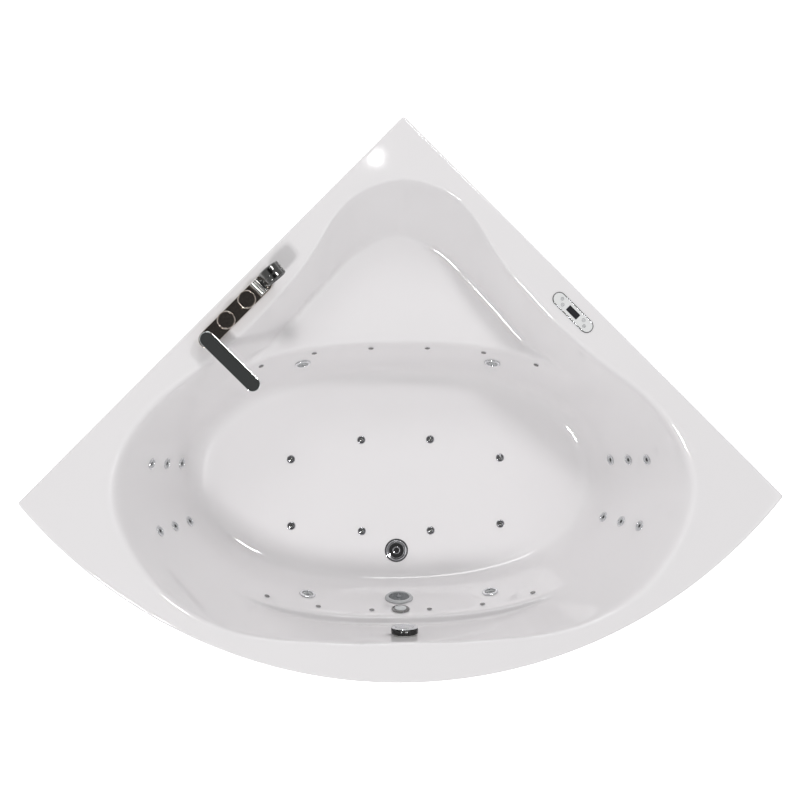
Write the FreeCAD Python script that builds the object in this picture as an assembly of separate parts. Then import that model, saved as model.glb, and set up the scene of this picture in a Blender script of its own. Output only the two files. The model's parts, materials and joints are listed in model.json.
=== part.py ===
"""Corner bath with massage jets and 1500 mm walls, on its steel frame, with its pump and fittings.

The origin lies on the floor under the middle of the bath's bounding box.  +X runs to the right as seen
from the room, +Y towards the corner of the walls, +Z up.  Every size is in millimetres.
"""
import FreeCAD, Part
import math
import os

V = FreeCAD.Vector
UP = V(0, 0, 1)

# ---------------------------------------------------------------- bath shell
wall_side = 1500.0            # length of each side that stands against a wall
front_sagitta = 506.0         # how far the curved front stands out from the line between its ends
rim_height = 600.0            # deck above the floor
seat_height = 380.0           # corner seat and the narrow front ledge
floor_height = 150.0          # inside of the bottom
shell_thickness = 6.0         # acrylic with its glass fibre backing
lip_depth = 40.0              # turned-down edge of the deck
corner_blunting = 8.0         # radius of the three upright corners
edge_bevel = 3.0              # broken edge along the top of the lip
well_centre_y = -230.0        # middle of the oval well

# Half of the opening at deck level, from the front (x = 0) round to the back of the corner seat.
rim_points = [
    (0, -669), (215, -666), (367, -655), (513, -620), (663, -530), (773, -372), (806, -245),
    (792, -175), (748, -85), (664, 10), (599, 60), (520, 120), (416, 211), (344, 290),
    (300, 340), (261, 390), (223, 452), (194, 510), (155, 555), (100, 587), (0, 613),
]
# Width of the level step between the upper wall and the well, by angle round the well.
step_widths = [
    (-90, 26), (-60, 26), (-40, 17), (-28, 0), (26, 0), (34, 8), (40, 18), (46, 36),
    (59, 117), (71, 200), (80, 272), (90, 314),
]
well_half_length = 705.0      # oval of the well at step height
well_half_width = 394.0
well_squareness = 2.4
floor_half_length = 597.0     # oval where the well wall meets the bottom
floor_half_width = 320.0
floor_squareness = 2.3
floor_blend_ends = 140.0      # how far the hollow of the bottom reaches in at the two ends
floor_blend_sides = 58.0      # and at the two long sides
floor_blend_rise = 110.0      # and up the wall
step_blend = 30.0             # rounding at the back of the step
well_edge_blend = 28.0        # rounding where the step turns down into the well
lip_reach_sides = 18.0        # soft edge of the opening along the front and back
lip_reach_ends = 50.0         # softer edge where the backs lean
turn_count = 72               # control points round the well
# Rings of the smooth surface, counted along its sections, between which the skins run straight.
inner_rings = [0, 0.7, 1.4, 2, 2.5, 3, 4, 5, 6, 7, 8, 8.5, 9, 9.6, 10.2, 10.6, 11]
outer_rings = [0, 1, 2, 2.5, 3, 4.6, 6.4, 7.6, 8.4, 9, 9.8, 10.5, 11]


def smooth_step(value):
    """Ease from 0 to 1 as value goes from 0 to 1."""
    clamped = min(1.0, max(0.0, value))
    return clamped * clamped * (3.0 - 2.0 * clamped)


def smooth_curve(knots):
    """A smooth function through (place, value) knots that is level at both ends."""
    places = [place for place, value in knots]
    values = [value for place, value in knots]
    slopes = [0.0]
    for before, after in zip(range(len(knots) - 2), range(2, len(knots))):
        slopes.append((values[after] - values[before]) / (places[after] - places[before]))
    slopes.append(0.0)

    def curve(place):
        index = 0
        while index < len(places) - 2 and place > places[index + 1]:
            index += 1
        span = places[index + 1] - places[index]
        part = (place - places[index]) / span
        rise = values[index + 1] - values[index]
        start = slopes[index] * span
        end = slopes[index + 1] * span
        bend = start + end - 2.0 * rise
        return values[index] + part * (start + part * (3.0 * rise - 2.0 * start - end + part * bend))

    return curve


def folded(angle):
    """The angle from -90 (front) to 90 (back) that has the same outline radius."""
    return math.degrees(math.asin(math.sin(math.radians(angle))))


def oval_radius(half_length, half_width, squareness, angle):
    """Distance from the middle of a squared oval to its edge."""
    across = abs(math.cos(math.radians(angle))) / half_length
    along = abs(math.sin(math.radians(angle))) / half_width
    return (across ** squareness + along ** squareness) ** (-1.0 / squareness)


rim_radius = smooth_curve([
    (math.degrees(math.atan2(y - well_centre_y, x)), math.hypot(x, y - well_centre_y))
    for x, y in rim_points
])
step_width = smooth_curve(step_widths)


def wall_corners(angle):
    """The four corners (radius, height) of the wall's section: rim, step back, step front, bottom."""
    turn = folded(angle)
    rim = rim_radius(turn)
    well = oval_radius(well_half_length, well_half_width, well_squareness, angle)
    bottom = oval_radius(floor_half_length, floor_half_width, floor_squareness, angle)
    width = max(0.0, step_width(turn))
    has_step = smooth_step(width / 22.0)
    slope = (rim - bottom) / (rim_height - floor_height)

    def blended(step_radius, height):
        plain = bottom + slope * (height - floor_height)
        radius = plain + has_step * (step_radius - plain)
        return radius, height + has_step * (seat_height - height)

    fade = 25.0
    return [
        (rim, rim_height),
        blended(well + width, seat_height + fade),
        blended(well, seat_height - fade),
        (bottom, floor_height),
    ]


def towards(start, end, distance):
    """The point a distance from start on the line to end, never past 0.45 of the way."""
    length = math.hypot(end[0] - start[0], end[1] - start[1])
    part = min(distance / length, 0.45)
    return start[0] + part * (end[0] - start[0]), start[1] + part * (end[1] - start[1])


def section_poles(angle):
    """Control points (radius, height) of the inner face of the bath, from the deck to the bottom."""
    rim, step_back, step_front, bottom = wall_corners(angle)
    sideways = math.cos(math.radians(angle)) ** 2
    reach = lip_reach_sides + (lip_reach_ends - lip_reach_sides) * sideways ** 2
    blend = floor_blend_sides + (floor_blend_ends - floor_blend_sides) * sideways
    edge = (rim[0] + reach, rim_height)
    middle = (bottom[0] - blend, floor_height)
    return [
        edge,
        (rim[0] + 0.45 * reach, rim_height),
        rim,
        towards(rim, step_back, 0.9 * reach),
        towards(step_back, rim, step_blend),
        step_back,
        towards(step_back, step_front, step_blend),
        towards(step_front, step_back, well_edge_blend),
        step_front,
        towards(step_front, bottom, well_edge_blend),
        towards(bottom, step_front, floor_blend_rise),
        bottom,
        (bottom[0] - 0.45 * blend, floor_height),
        middle,
    ]


def offset_section(section, distance):
    """The section moved outwards by a distance, square to its own run."""
    moved = [(section[0][0], section[0][1] - distance)]
    for before, here, after in zip(section, section[1:], section[2:]):
        first = math.atan2(here[1] - before[1], here[0] - before[0])
        second = math.atan2(after[1] - here[1], after[0] - here[0])
        turn = second - first
        turn -= 2.0 * math.pi * round(turn / (2.0 * math.pi))
        middle = first + turn / 2.0
        length = distance / max(0.5, math.cos(turn / 2.0))
        moved.append((here[0] - length * math.sin(middle), here[1] + length * math.cos(middle)))
    moved.append((section[-1][0], section[-1][1] - distance))
    return moved


def turned_surface(section_at):
    """The smooth surface round the well whose control points are the sections' own."""
    rows = []
    for turn in range(turn_count):
        angle = 360.0 * turn / turn_count
        across = math.cos(math.radians(angle))
        along = math.sin(math.radians(angle))
        rows.append([V(r * across, well_centre_y + r * along, z) for r, z in section_at(angle)])
    surface = Part.BSplineSurface()
    inner_knots = len(rows[0]) - 4
    surface.buildFromPolesMultsKnots(
        rows,
        [1] * (turn_count + 1), [4] + [1] * inner_knots + [4],
        list(range(turn_count + 1)), list(range(inner_knots + 2)),
        True, False, 3, 3,
    )
    return surface


def turned_skin(surface, ring_places):
    """Rings of the smooth surface joined by straight-lined bands, with its top and bottom rings."""
    quarters = [(turn_count * k / 4.0, turn_count * (k + 1) / 4.0) for k in range(4)]
    rings = []
    for place in ring_places:
        ring = surface.vIso(place)
        rings.append(Part.Wire([ring.toShape(start, end) for start, end in quarters]))
    return Part.makeLoft(rings, False, True), rings[0], rings[-1]


inner_surface = turned_surface(section_poles)
half_span = wall_side / math.sqrt(2.0)
bath_depth = half_span + front_sagitta
corner_loss = corner_blunting * (math.sqrt(2.0) - 1.0)
front_y = -(bath_depth - corner_loss) / 2.0
apex_y = front_y + bath_depth
side_corner_y = apex_y - half_span
front_radius = (half_span ** 2 + front_sagitta ** 2) / (2.0 * front_sagitta)
front_centre_y = front_y + front_radius


def plan_outline(height):
    """Outline of the bath in plan: two straight walls and the curved front."""
    apex = V(0, apex_y, height)
    left = V(-half_span, side_corner_y, height)
    right = V(half_span, side_corner_y, height)
    front = V(0, front_y, height)
    return Part.Wire([
        Part.makeLine(left, apex),
        Part.makeLine(apex, right),
        Part.Arc(right, front, left).toShape(),
    ])


def upright_edges(shape):
    """The straight edges of a shape that run along Z."""
    return [
        edge for edge in shape.Edges
        if abs(edge.BoundBox.ZLength - edge.Length) < 0.01 and edge.Length > 1.0
    ]


def deck_tray():
    """The flat deck with its turned-down lip, before the opening is made."""
    bottom = rim_height - lip_depth
    blank = Part.Face(plan_outline(bottom)).extrude(V(0, 0, lip_depth))
    blank = blank.makeFillet(corner_blunting, upright_edges(blank))
    inner_edge = blank.Faces[0]
    for face in blank.Faces:
        if abs(face.BoundBox.ZMax - bottom) < 0.01:
            inner_edge = face.OuterWire.makeOffset2D(-shell_thickness)
    hollow = Part.Face(inner_edge).extrude(V(0, 0, lip_depth - shell_thickness))
    top_edges = [edge for edge in blank.Edges if edge.BoundBox.ZMin > rim_height - 0.01]
    return blank.makeChamfer(edge_bevel, top_edges).cut(hollow)


def bath_blank():
    """The one-piece moulded bath before its holes are drilled."""
    outer_surface = turned_surface(lambda angle: offset_section(section_poles(angle), shell_thickness))
    inside, inside_top, inside_bottom = turned_skin(inner_surface, inner_rings)
    outside, outside_top, outside_bottom = turned_skin(outer_surface, outer_rings)
    opening_rings = {rim_height: inside_top, rim_height - shell_thickness: outside_top}
    faces = []
    for face in deck_tray().Faces:
        box = face.BoundBox
        rings = [
            ring for height, ring in opening_rings.items()
            if box.ZLength < 0.01 and abs(box.ZMax - height) < 0.01
        ]
        if rings:
            face = Part.makeFace([face.OuterWire] + rings, "Part::FaceMakerBullseye")
        faces.append(face)
    faces += [Part.Face(outside_bottom), Part.Face(inside_bottom)]
    faces += outside.Faces + inside.Faces
    return closed_solid(faces)


# ---------------------------------------------------------------- building blocks


def rod(base, direction, radius, length):
    """A round bar from base along direction."""
    return Part.makeCylinder(radius, length, base, direction)


def tube(base, direction, outer, inner, length):
    """A round bar with a bore of radius inner."""
    return rod(base, direction, outer, length).cut(rod(base, direction, inner, length))


def cone(base, direction, first, last, length):
    """A round taper from radius first to radius last."""
    return Part.makeCone(first, last, length, base, direction)


def box(low, high):
    """A box between two corners."""
    return Part.makeBox(high[0] - low[0], high[1] - low[1], high[2] - low[2], V(*low))


def joined(shapes):
    """Several overlapping or touching shapes as one piece."""
    return shapes[0].multiFuse(shapes[1:]).removeSplitter().Solids[0]


def stadium(length, radius, low, high):
    """A bar with round ends whose end centres lie at x = 0 and x = length."""
    ends = [rod(V(x, 0, low), UP, radius, high - low) for x in (0, length)]
    return joined([box((0, -radius, low), (length, radius, high))] + ends)


def hexagon(centre, across, height):
    """A hexagonal nut blank standing on centre."""
    radius = across / math.sqrt(3.0)
    corners = [
        centre + V(radius * math.cos(math.radians(60 * k)), radius * math.sin(math.radians(60 * k)), 0)
        for k in range(7)
    ]
    return Part.Face(Part.makePolygon(corners)).extrude(V(0, 0, height))


def placed(shape, site):
    """A copy of a shape drawn about the origin, moved to a site."""
    moved = shape.copy()
    moved.Placement = site.multiply(shape.Placement)
    return moved


def closed_solid(faces):
    """The solid inside faces that meet edge to edge."""
    skin = Part.makeShell(faces)
    skin.sewShape()
    solid = Part.makeSolid(skin)
    if solid.Volume < 0:
        solid.reverse()
    return solid


def pipe(points, radius, bend):
    """A round pipe along straight runs joined by tangent bends of one radius."""
    start = points[0]
    ring = Part.Wire([Part.makeCircle(radius, start, points[1] - start)])
    faces = [Part.Face(ring)]
    for before, corner, after in zip(points, points[1:], points[2:]):
        come = (corner - before).normalize()
        leave = (after - corner).normalize()
        turn = math.degrees(come.getAngle(leave))
        cut_back = bend * math.tan(come.getAngle(leave) / 2.0)
        run = corner - come * cut_back - start
        faces += ring.extrude(run).Faces
        ring.translate(run)
        centre = start + run + (leave - come * come.dot(leave)).normalize() * bend
        faces += ring.revolve(centre, come.cross(leave), turn).Faces
        ring.rotate(centre, come.cross(leave), turn)
        start = corner + leave * cut_back
    faces += ring.extrude(points[-1] - start).Faces
    ring.translate(points[-1] - start)
    faces.append(Part.Face(ring))
    return closed_solid(faces)


# ---------------------------------------------------------------- places on the walls of the bath


def wall_radius(angle, height):
    """Distance of the inner wall from the middle of the well, on the straight parts of its section."""
    corners = wall_corners(angle)
    radius = corners[-1][0]
    for (upper, upper_z), (lower, lower_z) in reversed(list(zip(corners, corners[1:]))):
        if height > lower_z:
            radius = lower + (upper - lower) * min(1.0, (height - lower_z) / max(upper_z - lower_z, 1e-6))
    return radius


def wall_point(angle, height):
    """Point of the inner wall."""
    radius = wall_radius(angle, height)
    across = radius * math.cos(math.radians(angle))
    along = radius * math.sin(math.radians(angle))
    return V(across, well_centre_y + along, height)


def wall_site(angle, height):
    """Placement on the inner wall: Z into the bath, Y up the wall, X level."""
    place_on_wall = inner_surface.parameter(wall_point(angle, height))
    place = inner_surface.value(*place_on_wall)
    inward = inner_surface.normal(*place_on_wall)
    if inward.dot(V(place.x, place.y - well_centre_y, 0)) > 0:
        inward = inward * -1
    level = UP.cross(inward)
    return FreeCAD.Placement(place, FreeCAD.Rotation(level, inward.cross(level), inward, "ZXY"))


def mirrored_sites(angle, height):
    """The same place on the right and on the left half of the bath."""
    return [wall_site(angle, height), wall_site(180.0 - angle, height)]


def deck_site(side, along, inset):
    """Placement on the deck: side 1 is right, -1 left; along the wall from the corner of the room.

    X runs along the wall and Y across the deck towards it.
    """
    half = math.sqrt(0.5)
    place = V(side * (along - inset) * half, apex_y - (along + inset) * half, rim_height)
    run = V(half, -side * half, 0)
    return FreeCAD.Placement(place, FreeCAD.Rotation(run, UP.cross(run), UP, "ZXY"))


# ---------------------------------------------------------------- jets, suction, light and overflow

jet_angles = [50.4, -51.6]           # two large side jets on each half
jet_height = 274.0
jet_trim_radius = 24.0
jet_stem_radius = 19.0
jet_socket_radius = 15.7
jet_socket_depth = 24.0
jet_nozzle_radius = 15.3
jet_nozzle_depth = 12.0
jet_nozzle_centre = -3.0
jet_housing_radius = 26.0
jet_housing_end = -62.0
hole_clearance = 0.5                 # between a stem and its hole in the shell
wall_nut_thickness = 8.0
flange_stand_off = 0.8               # a flat flange on the hollow wall
nut_gap = 1.0                        # a flat nut on the bulging outside

back_jet_angles = [4.3, -11.4]       # rows of three in each backrest
back_jet_heights = [250.0, 335.0, 420.0]
back_jet_trim_radius = 16.0
back_jet_stem_radius = 8.0
back_jet_housing_radius = 12.0
back_jet_depth = 32.0
manifold_radius = 9.0

air_jet_angles = [39.6, 56.1, 77.8, -41.0, -57.0, -77.6]
air_jet_height = 342.0
air_jet_radius = 8.0
air_jet_stem_radius = 5.0
air_jet_length = 26.0

floor_jet_places = [(316, -177), (104, -120), (316, -377), (104, -395)]
floor_jet_cap_radius = 12.5
floor_jet_stem_radius = 6.0
floor_jet_body_radius = 13.0

suction_angle = -90.0
suction_height = 262.0
suction_cover_radius = 41.5
suction_stem_radius = 36.0
suction_body_depth = 50.0
light_height = 338.0
light_flange_radius = 26.0
light_stem_radius = 20.0
light_depth = 38.0
overflow_height = 505.0
overflow_knob_radius = 39.0
overflow_flange_radius = 34.0
overflow_stem_radius = 22.0
overflow_depth = 58.0
spindle_radius = 6.0
running_gap = 0.06                   # radial play of a spindle in its bore

jet_sites = [site for angle in jet_angles for site in mirrored_sites(angle, jet_height)]
back_jet_rows = [
    [wall_site(turn, height) for height in back_jet_heights]
    for angle in back_jet_angles for turn in (angle, 180.0 - angle)
]
air_jet_sites = [site for angle in air_jet_angles for site in mirrored_sites(angle, air_jet_height)]
suction_site = wall_site(suction_angle, suction_height)
light_site = wall_site(suction_angle, light_height)
overflow_site = wall_site(suction_angle, overflow_height)
INWARD = V(0, 0, 1)


def clamped_stem(stem, nut, depth):
    """A stem through the wall up to the flange, with its nut behind, drawn with Z into the bath."""
    nut_front = -shell_thickness - nut_gap
    return [
        rod(V(0, 0, -depth), INWARD, stem, depth + flange_stand_off),
        rod(V(0, 0, nut_front - wall_nut_thickness), INWARD, nut, wall_nut_thickness),
    ]


def jet_body():
    """Body of a large jet: stem, nut and the housing that mixes air into the water."""
    housing_start = -shell_thickness - nut_gap - wall_nut_thickness
    housing = rod(V(0, 0, jet_housing_end), INWARD, jet_housing_radius, housing_start - jet_housing_end)
    solid = joined(clamped_stem(jet_stem_radius, jet_housing_radius + 3.0, -housing_start) + [housing])
    return solid.cut(rod(V(0, 0, -jet_socket_depth), INWARD, jet_socket_radius, jet_socket_depth + 5.0))


def jet_trim():
    """Chrome ring of a large jet, bevelled towards the bath."""
    low = flange_stand_off
    ring = joined([
        rod(V(0, 0, low), INWARD, jet_trim_radius, 2.0),
        cone(V(0, 0, low + 2.0), INWARD, jet_trim_radius, jet_trim_radius - 3.0, 2.5),
    ])
    return ring.cut(rod(V(0, 0, 0), INWARD, jet_socket_radius, 10.0))


def jet_nozzle():
    """Barrel that tilts in the jet's socket, with its eye."""
    half = jet_nozzle_depth / 2.0
    end_radius = math.sqrt(jet_nozzle_radius ** 2 - half ** 2) - 0.2
    middle = V(0, 0, jet_nozzle_centre)
    barrel = joined([
        cone(middle, INWARD, jet_nozzle_radius, end_radius, half),
        cone(middle, INWARD * -1, jet_nozzle_radius, end_radius, half),
    ])
    return barrel.cut(cone(middle - V(0, 0, half), INWARD, 7.0, 4.5, jet_nozzle_depth))


def back_jet_row(sites):
    """Bodies of one row of backrest jets on the pipe that feeds them."""
    low = -back_jet_depth
    housing_start = -shell_thickness - nut_gap
    housing = rod(V(0, 0, low), INWARD, back_jet_housing_radius, housing_start - low)
    stem = rod(V(0, 0, low), INWARD, back_jet_stem_radius, -low)
    pieces = [placed(piece, site) for site in sites for piece in (housing, stem)]
    ends = [site.multVec(V(0, 0, low + manifold_radius)) for site in (sites[0], sites[-1])]
    run = (ends[1] - ends[0]).normalize()
    first = ends[0] - run * back_jet_housing_radius * 1.5
    pieces.append(rod(first, run, manifold_radius, (ends[1] - first).Length + 4.0))
    return joined(pieces)


def back_jet_trim():
    """Chrome cup of a backrest jet with its eye."""
    low = 0.6
    cup = joined([
        rod(V(0, 0, low), INWARD, back_jet_trim_radius, 1.4),
        cone(V(0, 0, low + 1.4), INWARD, back_jet_trim_radius, back_jet_trim_radius - 2.5, 1.6),
    ])
    return cup.cut(cone(V(0, 0, low), INWARD, 3.0, 6.0, 3.0))


def air_jet():
    """Small air nozzle: cap, stem and hose tail in one moulding."""
    return joined([
        rod(V(0, 0, 0.3), INWARD, air_jet_radius, 2.0),
        rod(V(0, 0, -air_jet_length), INWARD, air_jet_stem_radius, air_jet_length + 0.3),
    ])


def suction_body():
    """Suction cup behind the front wall, open towards the bath."""
    cup = joined(clamped_stem(suction_stem_radius, suction_stem_radius + 8.0, suction_body_depth))
    return cup.cut(rod(V(0, 0, 6.0 - suction_body_depth), INWARD, suction_stem_radius - 4.0, 60.0))


def suction_cover():
    """Grille over the suction, with parallel slots."""
    cover = joined([
        rod(V(0, 0, flange_stand_off), INWARD, suction_cover_radius, 3.0),
        cone(V(0, 0, flange_stand_off + 3.0), INWARD, suction_cover_radius, suction_cover_radius - 8.0, 4.0),
    ])
    slots = []
    for row in range(-3, 4):
        half = math.sqrt((suction_stem_radius - 8.0) ** 2 - (8.0 * row) ** 2)
        slots.append(box((-half, 8.0 * row - 2.0, -5.0), (half, 8.0 * row + 2.0, 20.0)))
    return cover.cut(slots)


def light_housing():
    """Lamp housing with the trim ring that shows in the bath."""
    ring = rod(V(0, 0, flange_stand_off), INWARD, light_flange_radius, 3.0)
    body = joined(clamped_stem(light_stem_radius, light_flange_radius, light_depth) + [ring])
    return body.cut(rod(V(0, 0, -light_depth + 6.0), INWARD, light_stem_radius - 3.0, 60.0))


def light_lens():
    """Domed lens that closes the lamp housing."""
    radius = light_stem_radius - 3.0
    low = flange_stand_off - 4.0
    return joined([
        rod(V(0, 0, low), INWARD, radius - 0.3, 7.0),
        cone(V(0, 0, low + 7.0), INWARD, radius - 0.3, radius - 6.0, 2.0),
    ])


def overflow_body():
    """Overflow elbow behind the front wall, with its flange in the bath and its outlet below."""
    flange = rod(V(0, 0, flange_stand_off), INWARD, overflow_flange_radius, 2.5)
    body = joined(clamped_stem(overflow_stem_radius, overflow_flange_radius, overflow_depth) + [flange])
    outlet = rod(V(0, 0, -overflow_outlet_back), V(0, -1, 0), overflow_pipe_radius + 3.0, overflow_depth)
    socket = joined([body, outlet])
    bore = rod(V(0, 0, -overflow_depth), INWARD, spindle_radius + running_gap, overflow_depth + 10.0)
    return socket.cut(bore)


def overflow_knob():
    """Turning knob that opens the waste: cap with finger notches, on its spindle."""
    low = flange_stand_off + 2.5 + 0.5
    cap = joined([
        rod(V(0, 0, low), INWARD, overflow_knob_radius, 17.0),
        cone(V(0, 0, low + 17.0), INWARD, overflow_knob_radius, overflow_knob_radius - 4.0, 4.0),
    ])
    notches = []
    for quarter in range(4):
        turn = math.radians(90.0 * quarter)
        centre = V(math.cos(turn), math.sin(turn), 0) * (overflow_knob_radius + 6.0)
        notches.append(rod(centre + V(0, 0, low + 6.0), INWARD, 10.0, 30.0))
    spindle = rod(V(0, 0, 6.0 - overflow_depth), INWARD, spindle_radius, overflow_depth)
    return joined([cap.cut(notches), spindle])


# ---------------------------------------------------------------- waste

waste_x = 0.0
waste_y = -454.0
waste_flange_radius = 35.0
waste_throat_radius = 24.0
waste_wall = 3.0
waste_body_radius = 32.0
waste_body_bottom = 70.0
plug_radius = 31.0
plug_stem_radius = 5.0
plug_seat_gap = 0.3
trap_radius = 45.0
trap_bottom = 18.0
trap_outlet_radius = 20.0
trap_outlet_height = 40.0
trap_outlet_reach = 130.0
trap_outlet_turn = 109.0      # from +X, so that the waste pipe runs to the wall between the pump's pipes
trap_collar_reach = 50.0
overflow_pipe_radius = 16.0
overflow_outlet_back = 42.0
overflow_pipe_height = 100.0
shell_bottom = floor_height - shell_thickness


def waste_flange():
    """Strainer flange on the bottom of the bath, screwed down through it."""
    place = V(waste_x, waste_y, floor_height)
    flange = joined([
        rod(place, UP, waste_flange_radius, 2.5),
        rod(place - V(0, 0, 28.0), UP, waste_throat_radius, 30.0),
    ])
    bored = flange.cut(rod(place - V(0, 0, 40.0), UP, waste_throat_radius - waste_wall, 60.0))
    bridge = box(
        (waste_x - waste_throat_radius + 1.0, waste_y - 5.0, floor_height - 26.0),
        (waste_x + waste_throat_radius - 1.0, waste_y + 5.0, floor_height - 18.0),
    )
    hub = rod(place - V(0, 0, 26.0), UP, plug_stem_radius + 4.0, 8.0)
    guide = rod(place - V(0, 0, 40.0), UP, plug_stem_radius + running_gap, 60.0)
    return joined([bored, bridge, hub]).cut(guide)


def drain_plug():
    """Plug that rises when the overflow knob is turned."""
    place = V(waste_x, waste_y, floor_height + 2.5 + plug_seat_gap)
    return joined([
        rod(place, UP, plug_radius, 3.0),
        cone(place + V(0, 0, 3.0), UP, plug_radius, plug_radius - 5.0, 2.0),
        rod(place - V(0, 0, 60.0), UP, plug_stem_radius, 60.0),
    ])


def waste_body():
    """Waste tee under the bottom, with its clamping nut and the branch from the overflow."""
    base = V(waste_x, waste_y, waste_body_bottom)
    depth = shell_bottom - waste_body_bottom
    body = joined([
        rod(base, UP, waste_body_radius, depth),
        rod(base + V(0, 0, depth - 8.0), UP, waste_body_radius + 8.0, 8.0),
        rod(base + V(0, 0, overflow_pipe_height - waste_body_bottom), V(0, -1, 0),
            overflow_pipe_radius + 3.0, waste_body_radius + 14.0),
    ])
    bores = [
        rod(base + V(0, 0, depth - 30.0), UP, waste_throat_radius + 0.05, 40.0),
        rod(base, UP, waste_throat_radius - 2.0, depth),
    ]
    return body.cut(bores)


def trap_outlet_direction():
    """Level direction in which the trap's outlet points."""
    angle = math.radians(trap_outlet_turn)
    return V(math.cos(angle), math.sin(angle), 0)


def trap():
    """Low trap with its outlet towards the wall on the left, and the collar round it."""
    base = V(waste_x, waste_y, trap_bottom)
    outlet_centre = V(waste_x, waste_y, trap_outlet_height)
    away = trap_outlet_direction()
    body = joined([
        rod(base, UP, trap_radius, waste_body_bottom - trap_bottom),
        rod(outlet_centre, away, trap_outlet_radius + 6.0, trap_collar_reach),
        rod(outlet_centre, away, trap_outlet_radius, trap_outlet_reach),
    ])
    chamber = rod(base + V(0, 0, 4.0), UP, trap_radius - 4.0, waste_body_bottom - trap_bottom - 8.0)
    inlet = rod(base + V(0, 0, 10.0), UP, waste_throat_radius - 2.0, waste_body_bottom - trap_bottom)
    outlet = rod(outlet_centre, away, trap_outlet_radius - 2.5, trap_outlet_reach + 1.0)
    return body.cut([chamber, inlet, outlet])


def overflow_pipe():
    """Pipe from the overflow down to the waste tee."""
    top = overflow_site.multVec(V(0, -overflow_depth, -overflow_outlet_back))
    upper_bend = overflow_site.multVec(V(0, -overflow_depth - 20.0, -overflow_outlet_back))
    lower_bend = V(upper_bend.x, upper_bend.y, overflow_pipe_height)
    end = V(waste_x, waste_y - waste_body_radius - 14.0, overflow_pipe_height)
    return pipe([top, upper_bend, lower_bend, end], overflow_pipe_radius, 34.0)


# ---------------------------------------------------------------- frame and feet

rail_size = 30.0
rail_wall = 2.0
rail_bottom = 98.0
board_thickness = 16.0
main_rail_y = -270.0
upright_x = 900.0
cross_rail_x = 210.0
front_upright_y = -720.0
rear_rail_y = 520.0
back_upright_y = 700.0
board_half_length = 540.0
board_half_width = 250.0
shelf_front_y = 205.0
foot_rod_radius = 6.0
foot_pad_radius = 25.0
foot_pad_height = 10.0
foot_rod_top = 180.0
foot_nut_across = 18.0
foot_nut_height = 10.0
foot_play = 0.3
rail_top = rail_bottom + rail_size
half_rail = rail_size / 2.0
foot_places = [
    (-upright_x, main_rail_y), (upright_x, main_rail_y),
    (-cross_rail_x, front_upright_y), (cross_rail_x, front_upright_y),
    (0.0, back_upright_y),
]


def square_tube(low, high, axis):
    """Square steel tube between two corners, open at the ends of its axis (0, 1 or 2)."""
    inner_low = [value + rail_wall for value in low]
    inner_high = [value - rail_wall for value in high]
    inner_low[axis] = low[axis]
    inner_high[axis] = high[axis]
    return box(low, high).cut(box(inner_low, inner_high))


def x_rail(start, end, y):
    return square_tube((start, y - half_rail, rail_bottom), (end, y + half_rail, rail_top), 0)


def y_rail(x, start, end):
    return square_tube((x - half_rail, start, rail_bottom), (x + half_rail, end, rail_top), 1)


def foot_holes():
    """Clear holes for the feet through the rails."""
    return [
        rod(V(x, y, rail_bottom - 5.0), UP, foot_rod_radius + foot_play, rail_size + 10.0)
        for x, y in foot_places
    ]


def frame_rails():
    """The lying tubes of the frame, welded together."""
    rails = [
        x_rail(-upright_x - half_rail, upright_x + half_rail, main_rail_y),
        x_rail(-cross_rail_x - half_rail, cross_rail_x + half_rail, rear_rail_y),
        y_rail(0.0, rear_rail_y + half_rail, back_upright_y + half_rail),
    ]
    for x in (-cross_rail_x, cross_rail_x):
        rails.append(y_rail(x, front_upright_y - half_rail, main_rail_y - half_rail))
        rails.append(y_rail(x, main_rail_y + half_rail, rear_rail_y - half_rail))
    return Part.makeCompound([rail.cut(foot_holes()) for rail in rails])


def frame_uprights():
    """The standing tubes that carry the deck."""
    top = rim_height - shell_thickness
    return Part.makeCompound([
        square_tube((x - half_rail, y - half_rail, rail_top), (x + half_rail, y + half_rail, top), 2)
        for x, y in foot_places
    ])


def leveling_foot(x, y):
    """Threaded foot with its round pad."""
    return joined([
        rod(V(x, y, 0), UP, foot_pad_radius, foot_pad_height - 3.0),
        cone(V(x, y, foot_pad_height - 3.0), UP, foot_pad_radius, foot_rod_radius + 4.0, 3.0),
        rod(V(x, y, foot_pad_height), UP, foot_rod_radius, foot_rod_top - foot_pad_height),
    ])


def foot_lock_nuts():
    """Lock nuts under the rails."""
    nuts = []
    for x, y in foot_places:
        nut = hexagon(V(x, y, rail_bottom - foot_nut_height), foot_nut_across, foot_nut_height)
        nuts.append(nut.cut(rod(V(x, y, 0), UP, foot_rod_radius + foot_play, rail_bottom)))
    return Part.makeCompound(nuts)


def base_board():
    """Board bonded under the bottom, cut out for the waste and the floor jets."""
    points = []
    for turn in range(24):
        angle = 15.0 * turn
        radius = oval_radius(board_half_length, board_half_width, floor_squareness, angle)
        points.append(V(
            radius * math.cos(math.radians(angle)),
            well_centre_y + radius * math.sin(math.radians(angle)), rail_top,
        ))
    outline = Part.BSplineCurve()
    outline.interpolate(points, PeriodicFlag=True)
    board = Part.Face(Part.Wire([outline.toShape()])).extrude(V(0, 0, board_thickness))
    holes = [
        rod(V(side * x, y, 0), UP, floor_jet_body_radius + 3.0, rim_height)
        for x, y in floor_jet_places for side in (-1, 1)
    ]
    holes.append(rod(V(waste_x, waste_y, 0), UP, waste_body_radius + 15.0, rim_height))
    return board.cut(holes)


# ---------------------------------------------------------------- front apron and wall brackets

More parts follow.
